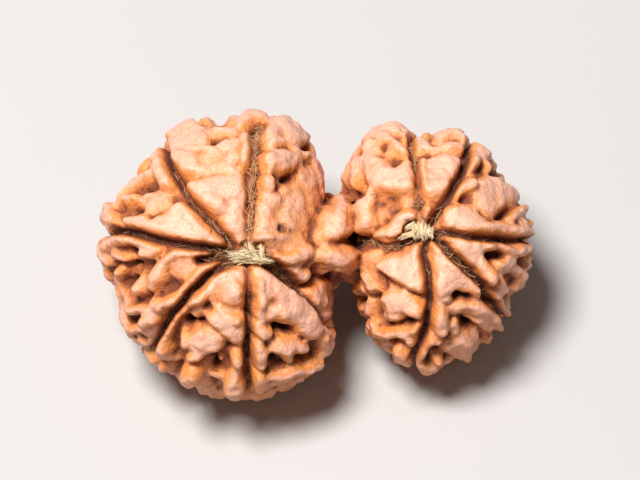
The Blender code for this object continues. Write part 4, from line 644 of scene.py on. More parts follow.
def as_seen(points, depth=SEEN_DEPTH):
    """Points with less of the view's depth, so that sizes near the outline are as the photograph shows."""
    return points * (1, 1, depth)


def seen_at(stone, points):
    """Where the photograph shows points that are given in mm from a stone's centre."""
    flat = np.array(stone["centre"]) + points[:, :2] * (1, -1) / MM_PER_PX
    grow = VIEW_DISTANCE_MM / (VIEW_DISTANCE_MM - stone["depth"] - points[:, 2:])
    return np.array(VIEW_CENTRE_PX) + (flat - VIEW_CENTRE_PX) * grow


def on_outline(stone, directions):
    """The points of a stone's plain outline shape, in mm from its centre, for directions on a ball."""
    directions = np.asarray(directions)
    radius = outline_radius(stone, np.arctan2(directions[..., 1], directions[..., 0])) * MM_PER_PX
    return np.stack((directions[..., 0] * radius, directions[..., 1] * radius,
                     directions[..., 2] * stone["half_depth"]), axis=-1)


def noise_at(points, wave, seed):
    """Smooth noise between about -1 and 1 at each point, with lumps about a wave apart."""
    cells = points / wave
    base = np.floor(cells).astype(np.int64)
    part = cells - base
    ease = part * part * (3 - 2 * part)
    total = np.zeros(len(points))
    for corner in itertools.product((0, 1), repeat=3):
        key = (base + corner) @ HASH_PLACE + seed * HASH_SEED
        for shift, factor, mask in HASH_ROUNDS:
            key = (key ^ (key >> shift)) * factor & mask
        slope = np.stack((key & 1023, key >> 10 & 1023, key >> 20 & 1023), axis=1) / 511.5 - 1
        weight = np.prod(np.where(corner, ease, 1 - ease), axis=1)
        total += weight * np.sum(slope * (part - corner), axis=1)
    return total * NOISE_GAIN


def distance_to_path(points, path):
    """Each point's distance to a path, and how far along it (0 to 1) the nearest place is."""
    nearest = np.full(len(points), np.inf)
    along = np.zeros(len(points))
    spans = len(path) - 1
    for i in range(spans):
        start, step = path[i], path[i + 1] - path[i]
        share = np.clip((points - start) @ step / max(step @ step, 1e-9), 0, 1)
        gap = np.linalg.norm(points - start - share[:, None] * step, axis=1)
        closer = gap < nearest
        nearest[closer] = gap[closer]
        along[closer] = (i + share[closer]) / spans
    return nearest, along


def soft_max(a, b, blend):
    """The larger of two levels, with the corner between them rounded."""
    near = np.clip(1 - np.abs(a - b) / blend, 0, None)
    return np.maximum(a, b) + near * near * blend / 4


def bottom_path(stone, last, rng):
    """Carries a cleft on from its last shown point to the hidden pole, along a wandering meridian."""
    top = photo_to_sphere(stone, *stone["pole"])
    side = last - top * (last @ top)
    side = side / np.linalg.norm(side)
    across = np.cross(top, side)
    start = math.degrees(math.acos(np.clip(last @ top, -1, 1)))
    path = []
    for step in range(1, BACK_POINTS + 1):
        angle = math.radians(start + (CLEFT_END_DEG - start) * step / BACK_POINTS)
        swing = rng.uniform(-CLEFT_SWING, CLEFT_SWING) * math.sin(angle)
        meridian = side * math.cos(swing) + across * math.sin(swing)
        path.append(top * math.cos(angle) + meridian * math.sin(angle))
    return path


def cleft_paths(name):
    """The clefts of a stone as (half-width in mm, bottom level, points in mm on its outline)."""
    stone = STONES[name]
    rng = random.Random(stone["seed"])
    found = []
    for width, bottom, points in CLEFTS[name]:
        path = [photo_to_sphere(stone, x, y) for x, y in points]
        if stone["pole"] and path[-1][2] < CLEFT_END_RISE:
            path += bottom_path(stone, path[-1], rng)
        found.append((width * MM_PER_PX, bottom, list(on_outline(stone, path))))
    return found


def shown_folds(name, folds):
    """Folds that the photograph shows, as (points in mm as seen, half-widths in mm, crest levels)."""
    stone = STONES[name]
    found = []
    for points in folds:
        path = on_outline(stone, [photo_to_sphere(stone, x, y) for x, y, _, _ in points])
        widths = [r * MM_PER_PX for _, _, r, _ in points]
        found.append((as_seen(path), widths, [level for _, _, _, level in points]))
    return found


def hidden_folds(name, clefts):
    """Folds and knobs for the side that the photograph hides, scattered clear of the clefts."""
    stone = STONES[name]
    rng = random.Random(stone["seed"] + HIDDEN_SEED)
    shares = np.linspace(0, 1, HIDDEN_BED_STEPS)[:, None]
    beds = np.concatenate([a + (b - a) * shares for _, _, path in clefts for a, b in zip(path, path[1:])])
    found, taken = [], []
    for attempt in range(HIDDEN_TRIES):
        direction = np.array([rng.gauss(0, 1) for _ in range(3)])
        direction = direction / np.linalg.norm(direction)
        if direction[2] > HIDDEN_RISE:
            continue
        centre = on_outline(stone, direction)
        half_width = rng.uniform(*HIDDEN_LARGE_MM if attempt < HIDDEN_LARGE_TRIES else HIDDEN_SMALL_MM)
        if np.linalg.norm(beds - centre, axis=1).min() < half_width * HIDDEN_SPACING + BLEND_MM:
            continue
        if any(np.linalg.norm(centre - other) < (half_width + width) * HIDDEN_SPACING
               for other, width in taken):
            continue
        turn = np.cross(direction, [rng.gauss(0, 1) for _ in range(3)])
        turn = turn / np.linalg.norm(turn) * rng.uniform(*HIDDEN_LENGTHS)
        bend = np.cross(direction, turn) * rng.uniform(-HIDDEN_BEND, HIDDEN_BEND)
        arc = np.array([direction - turn, direction + bend, direction + turn])
        path = on_outline(stone, arc / np.linalg.norm(arc, axis=1)[:, None])
        first, last = (half_width * rng.uniform(thin, 1) for thin in HIDDEN_ENDS)
        highest = HIDDEN_CREST if direction[2] < HIDDEN_RIM else HIDDEN_RIM_CREST
        crests = [rng.uniform(highest - HIDDEN_CREST_SPAN, highest) for _ in path]
        found.append((path, [first, half_width, last], crests))
        taken += [(p, half_width) for p in path]
    return found


def raise_fold(level, points, path, widths, crests):
    """Lifts the level to a fold: round across, with steep sides, and flatter where it is broad."""
    middle = np.mean(path, axis=0)
    reach = max(np.linalg.norm(p - middle) for p in path) + max(widths)
    near = np.linalg.norm(points - middle, axis=1) < reach
    gap, along = distance_to_path(points[near], path)
    steps = np.linspace(0, 1, len(widths))
    width = np.interp(along, steps, widths)
    crest = np.interp(along, steps, crests)
    broadness = np.clip(width / MM_PER_PX, *FOLD_GAIN_PX) - FOLD_GAIN_PX[0]
    power = FOLD_POWER + FOLD_POWER_GAIN * broadness
    across = np.sqrt(np.clip(1 - (gap / width) ** power, 0, 1))
    level[near] = soft_max(level[near], FOOT_LEVEL + (crest - FOOT_LEVEL) * across, BLEND_MM)


def raise_plate(level, points, pixels, stone, edge, corners):
    """Lifts the level to a plate: its corners' levels inside, a rounded shoulder all round."""
    shape = np.array([(x, y) for x, y, _ in corners], dtype=float)
    middle = shape.mean(axis=0)
    reach = np.linalg.norm(shape - middle, axis=1).max() + edge
    near = np.flatnonzero((np.linalg.norm(pixels - middle, axis=1) < reach) & (points[:, 2] > 0))
    here = pixels[near]
    inside = np.zeros(len(near), dtype=bool)
    for (ax, ay), (bx, by) in zip(shape, np.roll(shape, -1, axis=0)):
        if ay == by:
            continue
        crosses = (here[:, 1] < ay) != (here[:, 1] < by)
        inside ^= crosses & (here[:, 0] < ax + (here[:, 1] - ay) * (bx - ax) / (by - ay))
    apart = np.linalg.norm(here[:, None] - shape[None], axis=2)
    weights = 1 / (apart**2 + CORNER_REACH_PX**2) ** CORNER_POWER
    plate = weights @ np.array([z for _, _, z in corners]) / weights.sum(axis=1)
    rim = on_outline(stone, [photo_to_sphere(stone, x, y) for x, y in np.vstack((shape, shape[:1]))])
    to_rim = distance_to_path(points[near], rim)[0]
    swell = np.where(inside, np.clip(to_rim / CUSHION[1], 0, 1), 0)
    plate = plate + CUSHION[0] * (swell * (2 - swell) - 0.5)
    gap = to_rim / (edge * MM_PER_PX)
    shoulder = np.clip((np.where(inside, -gap, gap) + PLATE_EDGE_INSIDE) / (1 + PLATE_EDGE_INSIDE), 0, 1)
    across = np.sqrt(1 - shoulder**PLATE_POWER)
    level[near] = soft_max(level[near], FOOT_LEVEL + (plate - FOOT_LEVEL) * across, BLEND_MM)


def relief(name, outline_points):
    """The level of a stone's surface over each point of its outline, in mm above the bed."""
    stone = STONES[name]
    seeds = itertools.count(stone["seed"])

    def uneven(height, wave):
        return height * noise_at(outline_points, wave, next(seeds))

    points = outline_points + np.stack([uneven(*WARP) for _ in range(3)], axis=1)
    pixels = seen_at(stone, points)
    clefts = cleft_paths(name)
    level = VALLEY_LEVEL + uneven(*VALLEYS)
    for edge, corners in PLATES[name]:
        raise_plate(level, points, pixels, stone, edge, corners)
    for path, widths, crests in hidden_folds(name, clefts):
        raise_fold(level, points, path, widths, crests)
    for path, widths, crests in shown_folds(name, FOLDS[name]):
        raise_fold(level, as_seen(points), path, widths, crests)
    for table, reach in ((PITS, SEEN_DEPTH), (NOTCHES, NOTCH_DEPTH)):
        for depth, (x, y, half_width) in table.get(name, ()):
            centre = as_seen(on_outline(stone, photo_to_sphere(stone, x, y)), reach)
            gap = np.linalg.norm(as_seen(points, reach) - centre, axis=1) / (half_width * MM_PER_PX)
            level -= depth * np.clip(1 - gap**2, 0, 1) ** PIT_POWER
    low = np.clip((GRAIN_LEVEL - level) / GRAIN_LEVEL, 0, 1)
    level += low * sum(uneven(*grain) for grain in GRAIN)
    level += sum(uneven(*lumps) for lumps in LUMPS)
    crease = 1 - np.clip(np.abs(uneven(1, WRINKLES[1])) / WRINKLE_WIDTH, 0, 1)
    level -= WRINKLES[0] * crease**2
    ragged = sum(uneven(*edge) for edge in RAGGED)
    floor = uneven(*CLEFT_FLOOR)
    for half_width, bottom, path in clefts:
        gap, _ = distance_to_path(points, path)
        lip = np.clip((gap + ragged - half_width * CLEFT_BED_SHARE - PLUMP_MM) / CLEFT_LIP_MM, 0, 1)
        bed = bottom + floor
        level = np.minimum(level, bed + (level - bed) * np.sqrt(1 - (1 - lip) ** 2))
    for path, widths, crests in shown_folds(name, BRIDGES.get(name, ())):
        raise_fold(level, as_seen(points), path, widths, crests)
    return level


def view_to_world(points):
    """Turns points of the view to the object's frame."""
    return points @ VIEW_AXES


def bmesh_to_mesh(name, bm):
    mesh = bpy.data.meshes.new(name)
    bm.to_mesh(mesh)
    bm.free()
    return mesh


def read_values(items, key, width, kind=float):
    """One property of all of a mesh's items, as rows of a given width."""
    values = np.empty(len(items) * width, dtype=kind)
    items.foreach_get(key, values)
    return values.reshape(-1, width)


def read_points(mesh):
    return read_values(mesh.vertices, "co", 3)


def read_normals(mesh):
    return read_values(mesh.vertex_normals, "vector", 3)


def read_edges(mesh):
    return read_values(mesh.edges, "vertices", 2, np.int32)


def write_points(mesh, points):
    mesh.vertices.foreach_set("co", np.asarray(points).ravel())
    mesh.update()


def add_attribute(mesh, name, values):
    mesh.attributes.new(name, "FLOAT", "POINT").data.foreach_set("value", values.astype(np.float32))


def add_object(name, data):
    obj = bpy.data.objects.new(name, data)
    bpy.context.scene.collection.objects.link(obj)
    return obj


def ball(name, steps):
    """A ball of radius 1 as a mesh, and its points."""
    bm = bmesh.new()
    bmesh.ops.create_icosphere(bm, subdivisions=steps, radius=1.0)
    mesh = bmesh_to_mesh(name, bm)
    return mesh, read_points(mesh)


def block(name, low, high):
    """A box between two corners, in metres."""
    bm = bmesh.new()
    bmesh.ops.create_cube(bm, size=1.0)
    bmesh.ops.scale(bm, vec=high - low, verts=bm.verts)
    bmesh.ops.translate(bm, vec=(low + high) / 2, verts=bm.verts)
    return add_object(name, bmesh_to_mesh(name, bm))


def in_view(stone, points):
    """Moves points from a stone's own centre to the view's millimetres."""
    return points + (stone["centre"][0] * MM_PER_PX, -stone["centre"][1] * MM_PER_PX, stone["depth"])


def stone_mesh(name):
    """One stone as a mesh in the view's millimetres: a ball whose points are moved to the relief."""
    stone = STONES[name]
    mesh, directions = ball(name, SPHERE_STEPS)
    outline = on_outline(stone, directions)
    write_points(mesh, outline)
    raised = outline + read_normals(mesh) * (relief(name, outline) - OUTLINE_LEVEL)[:, None]
    write_points(mesh, raised)
    write_points(mesh, in_view(stone, raised + read_normals(mesh) * PLUMP_MM))
    return mesh


def strand_course(ends):
    """A strand's middle, half its length, and its directions: along, across and out of the stone."""
    middle = (ends[0] + ends[1]) / 2
    along = ends[1] - ends[0]
    length = np.linalg.norm(along)
    along = along / length
    out = middle / np.linalg.norm(middle)
    return middle, length / 2, along, np.cross(out, along), out


def scar_strand(stone, start, end, half_width, level):
    """The room for one strand of fibres: a long ball between two points of the photograph."""
    radius = half_width * MM_PER_PX + SCAR_GAP_MM
    ends = []
    for x, y in (start, end):
        direction = photo_to_sphere(stone, x, y)
        ends.append(on_outline(stone, direction) + direction * (level - OUTLINE_LEVEL))
    middle, half_length, along, across, _ = strand_course(ends)
    mesh, points = ball("strand", SCAR_STEPS)
    axes = np.stack((along * (half_length + radius), across * radius,
                     np.cross(along, across) * radius * STRAND_FLATNESS))
    write_points(mesh, in_view(stone, middle + points @ axes))
    return mesh


def joined(meshes, name):
    """Several meshes as one, turned to the object's frame and to metres."""
    bm = bmesh.new()
    for mesh in meshes:
        bm.from_mesh(mesh)
        bpy.data.meshes.remove(mesh)
    whole = bmesh_to_mesh(name, bm)
    write_points(whole, view_to_world(read_points(whole)) * METRES_PER_MM)
    return whole


def apply_modifiers(obj):
    """Replaces an object's mesh by what its modifiers make of it."""
    graph = bpy.context.evaluated_depsgraph_get()
    old = obj.data
    obj.data = bpy.data.meshes.new_from_object(obj.evaluated_get(graph))
    obj.modifiers.clear()
    bpy.data.meshes.remove(old)


def fuse(obj, voxel_mm, passes):
    """Makes one skin of overlapping meshes and softens it."""
    remesh = obj.modifiers.new("One skin", "REMESH")
    remesh.mode = "VOXEL"
    remesh.voxel_size = voxel_mm * METRES_PER_MM
    smooth = obj.modifiers.new("Soften", "SMOOTH")
    smooth.factor = 0.5
    smooth.iterations = passes
    apply_modifiers(obj)


def drop_idle_corners(obj):
    """Takes out the corners that only two edges meet at, which a closed skin has no need of."""
    bm = bmesh.new()
    bm.from_mesh(obj.data)
    idle = [corner for corner in bm.verts if len(corner.link_edges) == 2]
    bmesh.ops.dissolve_verts(bm, verts=idle)
    bm.to_mesh(obj.data)
    bm.free()


def thin_out(obj, triangles):
    """Brings a mesh down to about a number of triangles, and leaves triangles only."""
    drop_idle_corners(obj)
    faces = sum(len(p.vertices) - 2 for p in obj.data.polygons)
    fewer = obj.modifiers.new("Fewer faces", "DECIMATE")
    fewer.ratio = min(1.0, triangles / faces)
    fewer.use_collapse_triangulate = True
    apply_modifiers(obj)


def cut(obj, cutter):
    """Takes a cutter's shape off an object, and the cutter out of the scene."""
    off = obj.modifiers.new("Cut", "BOOLEAN")
    off.operation = "DIFFERENCE"
    off.solver = "EXACT"
    off.object = cutter
    apply_modifiers(obj)
    bpy.data.objects.remove(cutter)


def place_at_node(points, node):
    """The shift that brings a stone's points to its CAD node: middle over middle, top to top."""
    low, high = (np.array(corner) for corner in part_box(node))
    own_low, own_high = points.min(axis=0), points.max(axis=0)
    middle = (low + high) / 2 - (own_low + own_high) / 2
    return Vector((middle[0], middle[1], high[2] - own_high[2]))


def make_stone():
    """The fine skin of the stone, in the place of the CAD stone; returns it and its shift."""
    stone = add_object("stone_skin", joined([stone_mesh(name) for name in STONES], "stone_skin"))
    fuse(stone, VOXEL_MM, SMOOTH_PASSES)
    shift = place_at_node(read_points(stone.data), "twin_stone")
    for name, strands in STRANDS.items():
        rooms = [scar_strand(STONES[name], *strand) for strand in strands]
        scar = add_object("scar_" + name, joined(rooms, "scar_" + name))
        fuse(scar, SCAR_VOXEL_MM, SCAR_SMOOTH_PASSES)
        cut(stone, scar)
    thin_out(stone, STONE_TRIANGLES)
    stone.data.transform(Matrix.Translation(shift))
    reach = LENGTH_MM * METRES_PER_MM
    cut(stone, block("under", Vector((-reach, -reach, -reach)), Vector((reach, reach, 0))))
    stone.data.shade_smooth()
    return stone, shift


def ease(values, low, high):
    """0 at low, 1 at high and a soft step between them."""
    t = np.clip((values - low) / (high - low), 0, 1)
    return t * t * (3 - 2 * t)


def smoothed(points, edges, rounds):
    """The points after each has moved, round by round, halfway to the mean of its neighbours."""
    count = len(points)
    start, end = edges.T
    neighbours = np.bincount(edges.ravel(), minlength=count)[:, None]
    for _ in range(rounds):
        total = np.stack([np.bincount(start, values[end], count) + np.bincount(end, values[start], count)
                          for values in points.T], axis=1)
        points = (points + total / neighbours) / 2
    return points


def hollowness(mesh):
    """How far each point lies below the smoothed surface, in mm: at a fine, a middle and a broad scale."""
    points, normals, edges = read_points(mesh), read_normals(mesh), read_edges(mesh)
    found = []
    soft, done = points, 0
    for rounds in HOLLOW_ROUNDS:
        soft = smoothed(soft, edges, rounds - done)
        done = rounds
        found.append(np.sum((soft - points) * normals, axis=1) / METRES_PER_MM)
    return found


def closeness(mesh):
    """How much of the sky over each point the surface itself hides, from 0 to 1, within a short reach."""
    points, normals = read_points(mesh), read_normals(mesh)
    tree = BVHTree.FromPolygons([tuple(p) for p in points], [tuple(p.vertices) for p in mesh.polygons])
    rng = np.random.default_rng(SKY_SEED)
    side = np.cross(normals, SKY_SIDEWAYS)
    side /= np.linalg.norm(side, axis=1)[:, None]
    other = np.cross(normals, side)
    reach = SKY_REACH_MM * METRES_PER_MM
    hidden = np.zeros(len(points))
    for ring, turns in SKY_RINGS:
        tilt = math.radians(ring)
        first = rng.uniform(0, 2 * math.pi, len(points))
        for k in range(turns):
            turn = first + 2 * math.pi * k / turns
            rays = (normals * math.cos(tilt) + side * (math.sin(tilt) * np.cos(turn))[:, None]
                    + other * (math.sin(tilt) * np.sin(turn))[:, None])
            starts = points + rays * SKY_GAP_MM * METRES_PER_MM
            hits = [tree.ray_cast(*ray, reach)[3] for ray in zip(starts.tolist(), rays.tolist())]
            hidden += 1 - np.array([reach if hit is None else hit for hit in hits]) / reach
    hidden /= sum(turns for _, turns in SKY_RINGS)
    return smoothed(hidden[:, None], read_edges(mesh), SKY_ROUNDS)[:, 0]


def steepness(mesh):
    """How far each point's surface leans away from the broad surface about it."""
    normals, edges = read_normals(mesh), read_edges(mesh)
    broad = smoothed(normals, edges, HOLLOW_ROUNDS[-1])
    broad /= np.linalg.norm(broad, axis=1)[:, None]
    return 1 - np.sum(smoothed(normals, edges, LEAN_ROUNDS) * broad, axis=1)


def cleft_shares(points):
    """How far inside a cleft each point lies, from 0 to 1, measured along the stones' outlines, and scaled
    by how deep the cleft is, for the clefts' painted shade.
    """
    share = np.zeros(len(points))
    for name, stone in STONES.items():
        own = points - in_view(stone, np.zeros(3))
        radius = outline_radius(stone, np.arctan2(own[:, 1], own[:, 0])) * MM_PER_PX
        scaled = np.stack((own[:, 0] / radius, own[:, 1] / radius, own[:, 2] / stone["half_depth"]), axis=1)
        reach = np.linalg.norm(scaled, axis=1)
        outline = on_outline(stone, scaled / reach[:, None])
        belongs = reach < OWN_REACH
        for half_width, bottom, path in cleft_paths(name):
            gap = distance_to_path(outline[belongs], path)[0] - half_width
            painted_cleft_shade = ease(-bottom, *CLEFT_DEPTHS_MM)
            share[belongs] = np.maximum(share[belongs], painted_cleft_shade * (1 - ease(gap, *CLEFT_EDGE_MM)))
    return share


def stain_shares(points):
    """How much each point lies in one of the stains, from 0 to 1."""
    share = np.zeros(len(points))
    for name, stains in STAINS.items():
        stone = STONES[name]
        own = points - in_view(stone, np.zeros(3))
        pixels = seen_at(stone, own)
        for x, y, half_width in stains:
            gap = np.linalg.norm(pixels - (x, y), axis=1) / half_width
            share = np.maximum(share, np.where(own[:, 2] > 0, 1 - ease(gap, *STAIN_EDGE), 0))
    return share


def paint(mesh, shift):
    """Writes what the stone's colour depends on to its points."""
    fine, middle, broad = hollowness(mesh)
    points = (read_points(mesh) - np.array(shift)) / METRES_PER_MM @ VIEW_AXES.T
    add_attribute(mesh, "crest", ease(-broad, *CREST_RANGE_MM))
    # Painted shade: the material darkens the creases by how far they sink below the smoothed surface.
    add_attribute(mesh, "crevice", ease(middle + fine, *CREVICE_RANGE_MM))
    # Painted shade: the material darkens the colour where the surface hides its own sky.
    add_attribute(mesh, "hidden", closeness(mesh))
    add_attribute(mesh, "lean", ease(steepness(mesh), *LEAN_RANGE))
    add_attribute(mesh, "cleft", cleft_shares(points))
    add_attribute(mesh, "stain", stain_shares(points))
    # Which way each point faces, by which the material paints light on the tops and shade underneath.
    add_attribute(mesh, "upward", ease(read_normals(mesh)[:, 2], *UPWARD_RANGE))


class Nodes:
    """A material's node tree, built by short calls."""

    def __init__(self, name):
        self.material = bpy.data.materials.new(name)
        self.material.use_nodes = True
        self.tree = self.material.node_tree
        self.shader = self.tree.nodes["Principled BSDF"]
        self.place = self.add("ShaderNodeTexCoord").outputs["Object"]

    def add(self, kind, **settings):
        node = self.tree.nodes.new(kind)
        for name, value in settings.items():
            setattr(node, name, value)
        return node

    def put(self, value, socket):
        """Links an output to a socket, or sets the socket to a plain value."""
        if isinstance(value, bpy.types.NodeSocket):
            self.tree.links.new(value, socket)
        else:
            socket.default_value = value

    def attribute(self, name):
        return self.add("ShaderNodeAttribute", attribute_name=name).outputs["Fac"]

    def noise(self, wave_mm, detail, roughness=0.55, distortion=0.0):
        """Noise from 0 to 1 with lumps about a wave apart."""
        node = self.add("ShaderNodeTexNoise")
        self.put(self.place, node.inputs["Vector"])
        node.inputs["Scale"].default_value = 1 / (wave_mm * METRES_PER_MM)
        node.inputs["Detail"].default_value = detail
        node.inputs["Roughness"].default_value = roughness
        node.inputs["Distortion"].default_value = distortion
        return node.outputs["Fac"]

    def math(self, operation, *values):
        node = self.add("ShaderNodeMath", operation=operation)
        for value, socket in zip(values, node.inputs):
            self.put(value, socket)
        return node.outputs[0]

    def plus(self, *values):
        return self.math("ADD", *values)

    def minus(self, *values):
        return self.math("SUBTRACT", *values)

    def times(self, *values):
        return self.math("MULTIPLY", *values)

    def swing(self, noise):
        """A noise from 0 to 1 as a swing of a quarter to either side of zero."""
        return self.times(self.minus(noise, 0.5), 0.5)

    def ranged(self, value, low, high, to_low=0.0, to_high=1.0):
        """A value's share of the way from low to high, as a soft step between two results."""
        node = self.add("ShaderNodeMapRange", interpolation_type="SMOOTHSTEP")
        for item, socket in zip((value, low, high, to_low, to_high), node.inputs):
            self.put(item, socket)
        return node.outputs["Result"]

    def mix(self, share, first, second):
        """Two colours mixed."""
        node = self.add("ShaderNodeMix", data_type="RGBA")
        self.put(share, node.inputs["Factor"])
        for colour, socket in ((first, node.inputs[6]), (second, node.inputs[7])):
            self.put((*colour, 1) if isinstance(colour, tuple) else colour, socket)
        return node.outputs[2]

    def bump(self, height, distance_mm, below=None):
        node = self.add("ShaderNodeBump")
        node.inputs["Distance"].default_value = distance_mm * METRES_PER_MM
        self.put(height, node.inputs["Height"])
        if below:
            self.put(below, node.inputs["Normal"])
        return node.outputs["Normal"]


def stone_material():
    """Waxy dried stone: pink tan on the heights, orange on their rims, red brown in the hollows; painted
    light pales the tops that face up, and painted shade darkens the undersides, hollows, creases and deep
    clefts.
    """
    n = Nodes("stone_skin")
    crest, hidden, lean = n.attribute("crest"), n.attribute("hidden"), n.attribute("lean")
    blotch = n.noise(BLOTCH_MM, 3.0)
    grain = n.noise(GRAIN_MM, 4.0, 0.65)
    speck = n.noise(SPECK_MM, 3.0, 0.7)
    grainy = n.swing(grain)

    # Heights and slopes, paler where they face up: the paler tops are partly the stone's own colour and
    # partly painted light, and the darker orange on the faces that look down is painted shade.
    # Painted shade: where the surface hides its own sky, the heights' colour gives way to the slopes'.
    height = n.minus(n.plus(n.plus(crest, n.swing(blotch)), grainy), n.times(hidden, 0.6))
    colour = n.mix(n.ranged(height, 0.0, 0.55), SLOPE_COLOUR, CREST_COLOUR)
    pale = n.times(n.ranged(height, 0.45, 1.0), n.ranged(lean, 0.0, 0.6, 0.9, 0.0))
    upward = n.attribute("upward")
    pale = n.times(pale, n.ranged(upward, 0.2, 0.9))
    colour = n.mix(n.ranged(upward, 0.0, 0.9, 0.7, 0.0), colour, UNDERSIDE_SHADE_COLOUR)
    colour = n.mix(pale, colour, PALE_COLOUR)
    colour = n.mix(n.times(lean, n.ranged(blotch, 0.3, 0.7, 0.35, 0.9)), colour, RIM_COLOUR)

    # Hollows, specks and crevices. The red brown of the low places is the stone's own, but it also spreads,
    # and turns near black, where the surface hides its own sky: painted shade. The stone's own dark specks
    # are painted thicker there too.
    low = n.times(n.minus(0.45, crest), 0.8)
    depth = n.plus(n.plus(n.times(hidden, 1.2), low), n.times(grainy, 1.3))
    colour = n.mix(n.ranged(depth, 0.25, 0.75, 0.0, 0.9), colour, RED_COLOUR)
    colour = n.mix(n.ranged(n.noise(BLUSH_MM, 4.0, 0.6, 0.6), 0.52, 0.72, 0.0, 0.5), colour, BLUSH_COLOUR)
    specks = n.times(n.ranged(speck, 0.52, 0.66), n.ranged(depth, 0.15, 0.7, 0.14, 0.75))
    colour = n.mix(specks, colour, CREVICE_COLOUR)
    # Painted shade in the creases.
    colour = n.mix(n.times(n.attribute("crevice"), 0.75), colour, CREVICE_COLOUR)
    colour = n.mix(n.ranged(depth, 0.7, 1.15, 0.0, 0.95), colour, DEEP_SHADE_COLOUR)

    # Clefts and stains: cleft floors go red brown and then near black, the more so the deeper the cleft, as
    # painted shade over their own red brown. The stains are the stone's own.
    cleft = n.attribute("cleft")
    colour = n.mix(n.ranged(cleft, 0.0, 0.7, 0.0, 0.85), colour, RED_COLOUR)
    colour = n.mix(n.ranged(n.plus(cleft, grainy), 0.5, 1.0, 0.0, 0.85), colour, DEEP_SHADE_COLOUR)
    stain = n.times(n.attribute("stain"), n.ranged(grain, 0.4, 0.62, 0.15, 0.85))
    colour = n.mix(stain, colour, STAIN_COLOUR)

    n.put(colour, n.shader.inputs["Base Color"])
    n.put(n.ranged(depth, 0.0, 0.6, 0.31, 0.75), n.shader.inputs["Roughness"])
    n.shader.inputs["Specular IOR Level"].default_value = 0.5
    rough_bed = n.times(n.plus(grain, n.times(speck, 0.4)), n.ranged(depth, 0.1, 0.6, 0.12, 1.0))
    skin = n.bump(rough_bed, BED_BUMP_MM)
    n.put(n.bump(n.noise(PORE_MM, 4.0, 0.6), PORE_BUMP_MM, skin), n.shader.inputs["Normal"])
    return n.material


def fibre_material(name, old, middle, pale):
    """Dry plant fibre, coloured by each one's tone, which for the cleft fibres carries painted shade as
    well.
    """
    n = Nodes(name)
    tone = n.attribute("tone")
    shade = n.plus(tone, n.swing(n.noise(FIBRE_GRAIN_MM, 2.0)))
    colour = n.mix(n.ranged(shade, 0.05, 0.65), old, middle)
    colour = n.mix(n.ranged(shade, 0.65, 1.05), colour, pale)
    n.put(colour, n.shader.inputs["Base Color"])
    n.shader.inputs["Roughness"].default_value = 0.75
    n.put(n.bump(n.noise(FIBRE_SKIN_MM, 1.0), FIBRE_BUMP_MM), n.shader.inputs["Normal"])
    return n.material


def floor_material():
    """A pale, faintly uneven matt surface."""
    n = Nodes("pale_floor")
    n.put(n.mix(n.noise(FLOOR_CLOUD_MM, 2.0), *FLOOR_COLOURS), n.shader.inputs["Base Color"])
    n.shader.inputs["Roughness"].default_value = 0.7
    return n.material


def tubes_mesh(name, paths, radii, sides, tones):
    """Thin tubes along paths, tapered to their ends, as one mesh; tones goes to an attribute."""
    vertices, faces, shades = [], [], []
    for path, radius, tone in zip(paths, radii, tones):
        along = np.gradient(path, axis=0)
        along /= np.linalg.norm(along, axis=1)[:, None]
        across = np.cross(along, TUBE_SIDEWAYS)
        across /= np.linalg.norm(across, axis=1)[:, None]
        third = np.cross(along, across)
        taper = radius * (1 - TUBE_TAPER * np.abs(np.linspace(-1, 1, len(path))) ** TUBE_TAPER_POWER)
        first = len(vertices)
        for step in range(len(path)):
            for side in range(sides):
                turn = 2 * math.pi * side / sides
                offset = across[step] * math.cos(turn) + third[step] * math.sin(turn)
                vertices.append(path[step] + offset * taper[step])
        for step in range(len(path) - 1):
            for side in range(sides):
                a, b = first + step * sides + side, first + step * sides + (side + 1) % sides
                faces.append((a, b, b + sides, a + sides))
        faces.append(tuple(reversed(range(first, first + sides))))
        faces.append(tuple(range(first + (len(path) - 1) * sides, first + len(path) * sides)))
        shades += [tone] * (len(path) * sides)
    mesh = bpy.data.meshes.new(name)
    mesh.from_pydata(vertices, [], faces)
    add_attribute(mesh, "tone", np.array(shades))
    mesh.shade_smooth()
    return mesh


def add_fibres(name, stone, paths, radii, sides, tones, shift, look):
    """A piece of fibres, from paths in mm from a stone's centre."""
    mesh = tubes_mesh(name, [in_view(stone, path) for path in paths], radii, sides, tones)
    write_points(mesh, view_to_world(read_points(mesh)) * METRES_PER_MM + np.array(shift))
    mesh.materials.append(look)
    piece = add_object(name, mesh)
    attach(piece, "root")
    return piece


def outline_normal(stone, point):
    """The outward direction of a stone's outline shape at one of its points."""
    radius = outline_radius(stone, math.atan2(point[1], point[0])) * MM_PER_PX
    normal = point / np.array((radius, radius, stone["half_depth"])) ** 2
    return normal / np.linalg.norm(normal)


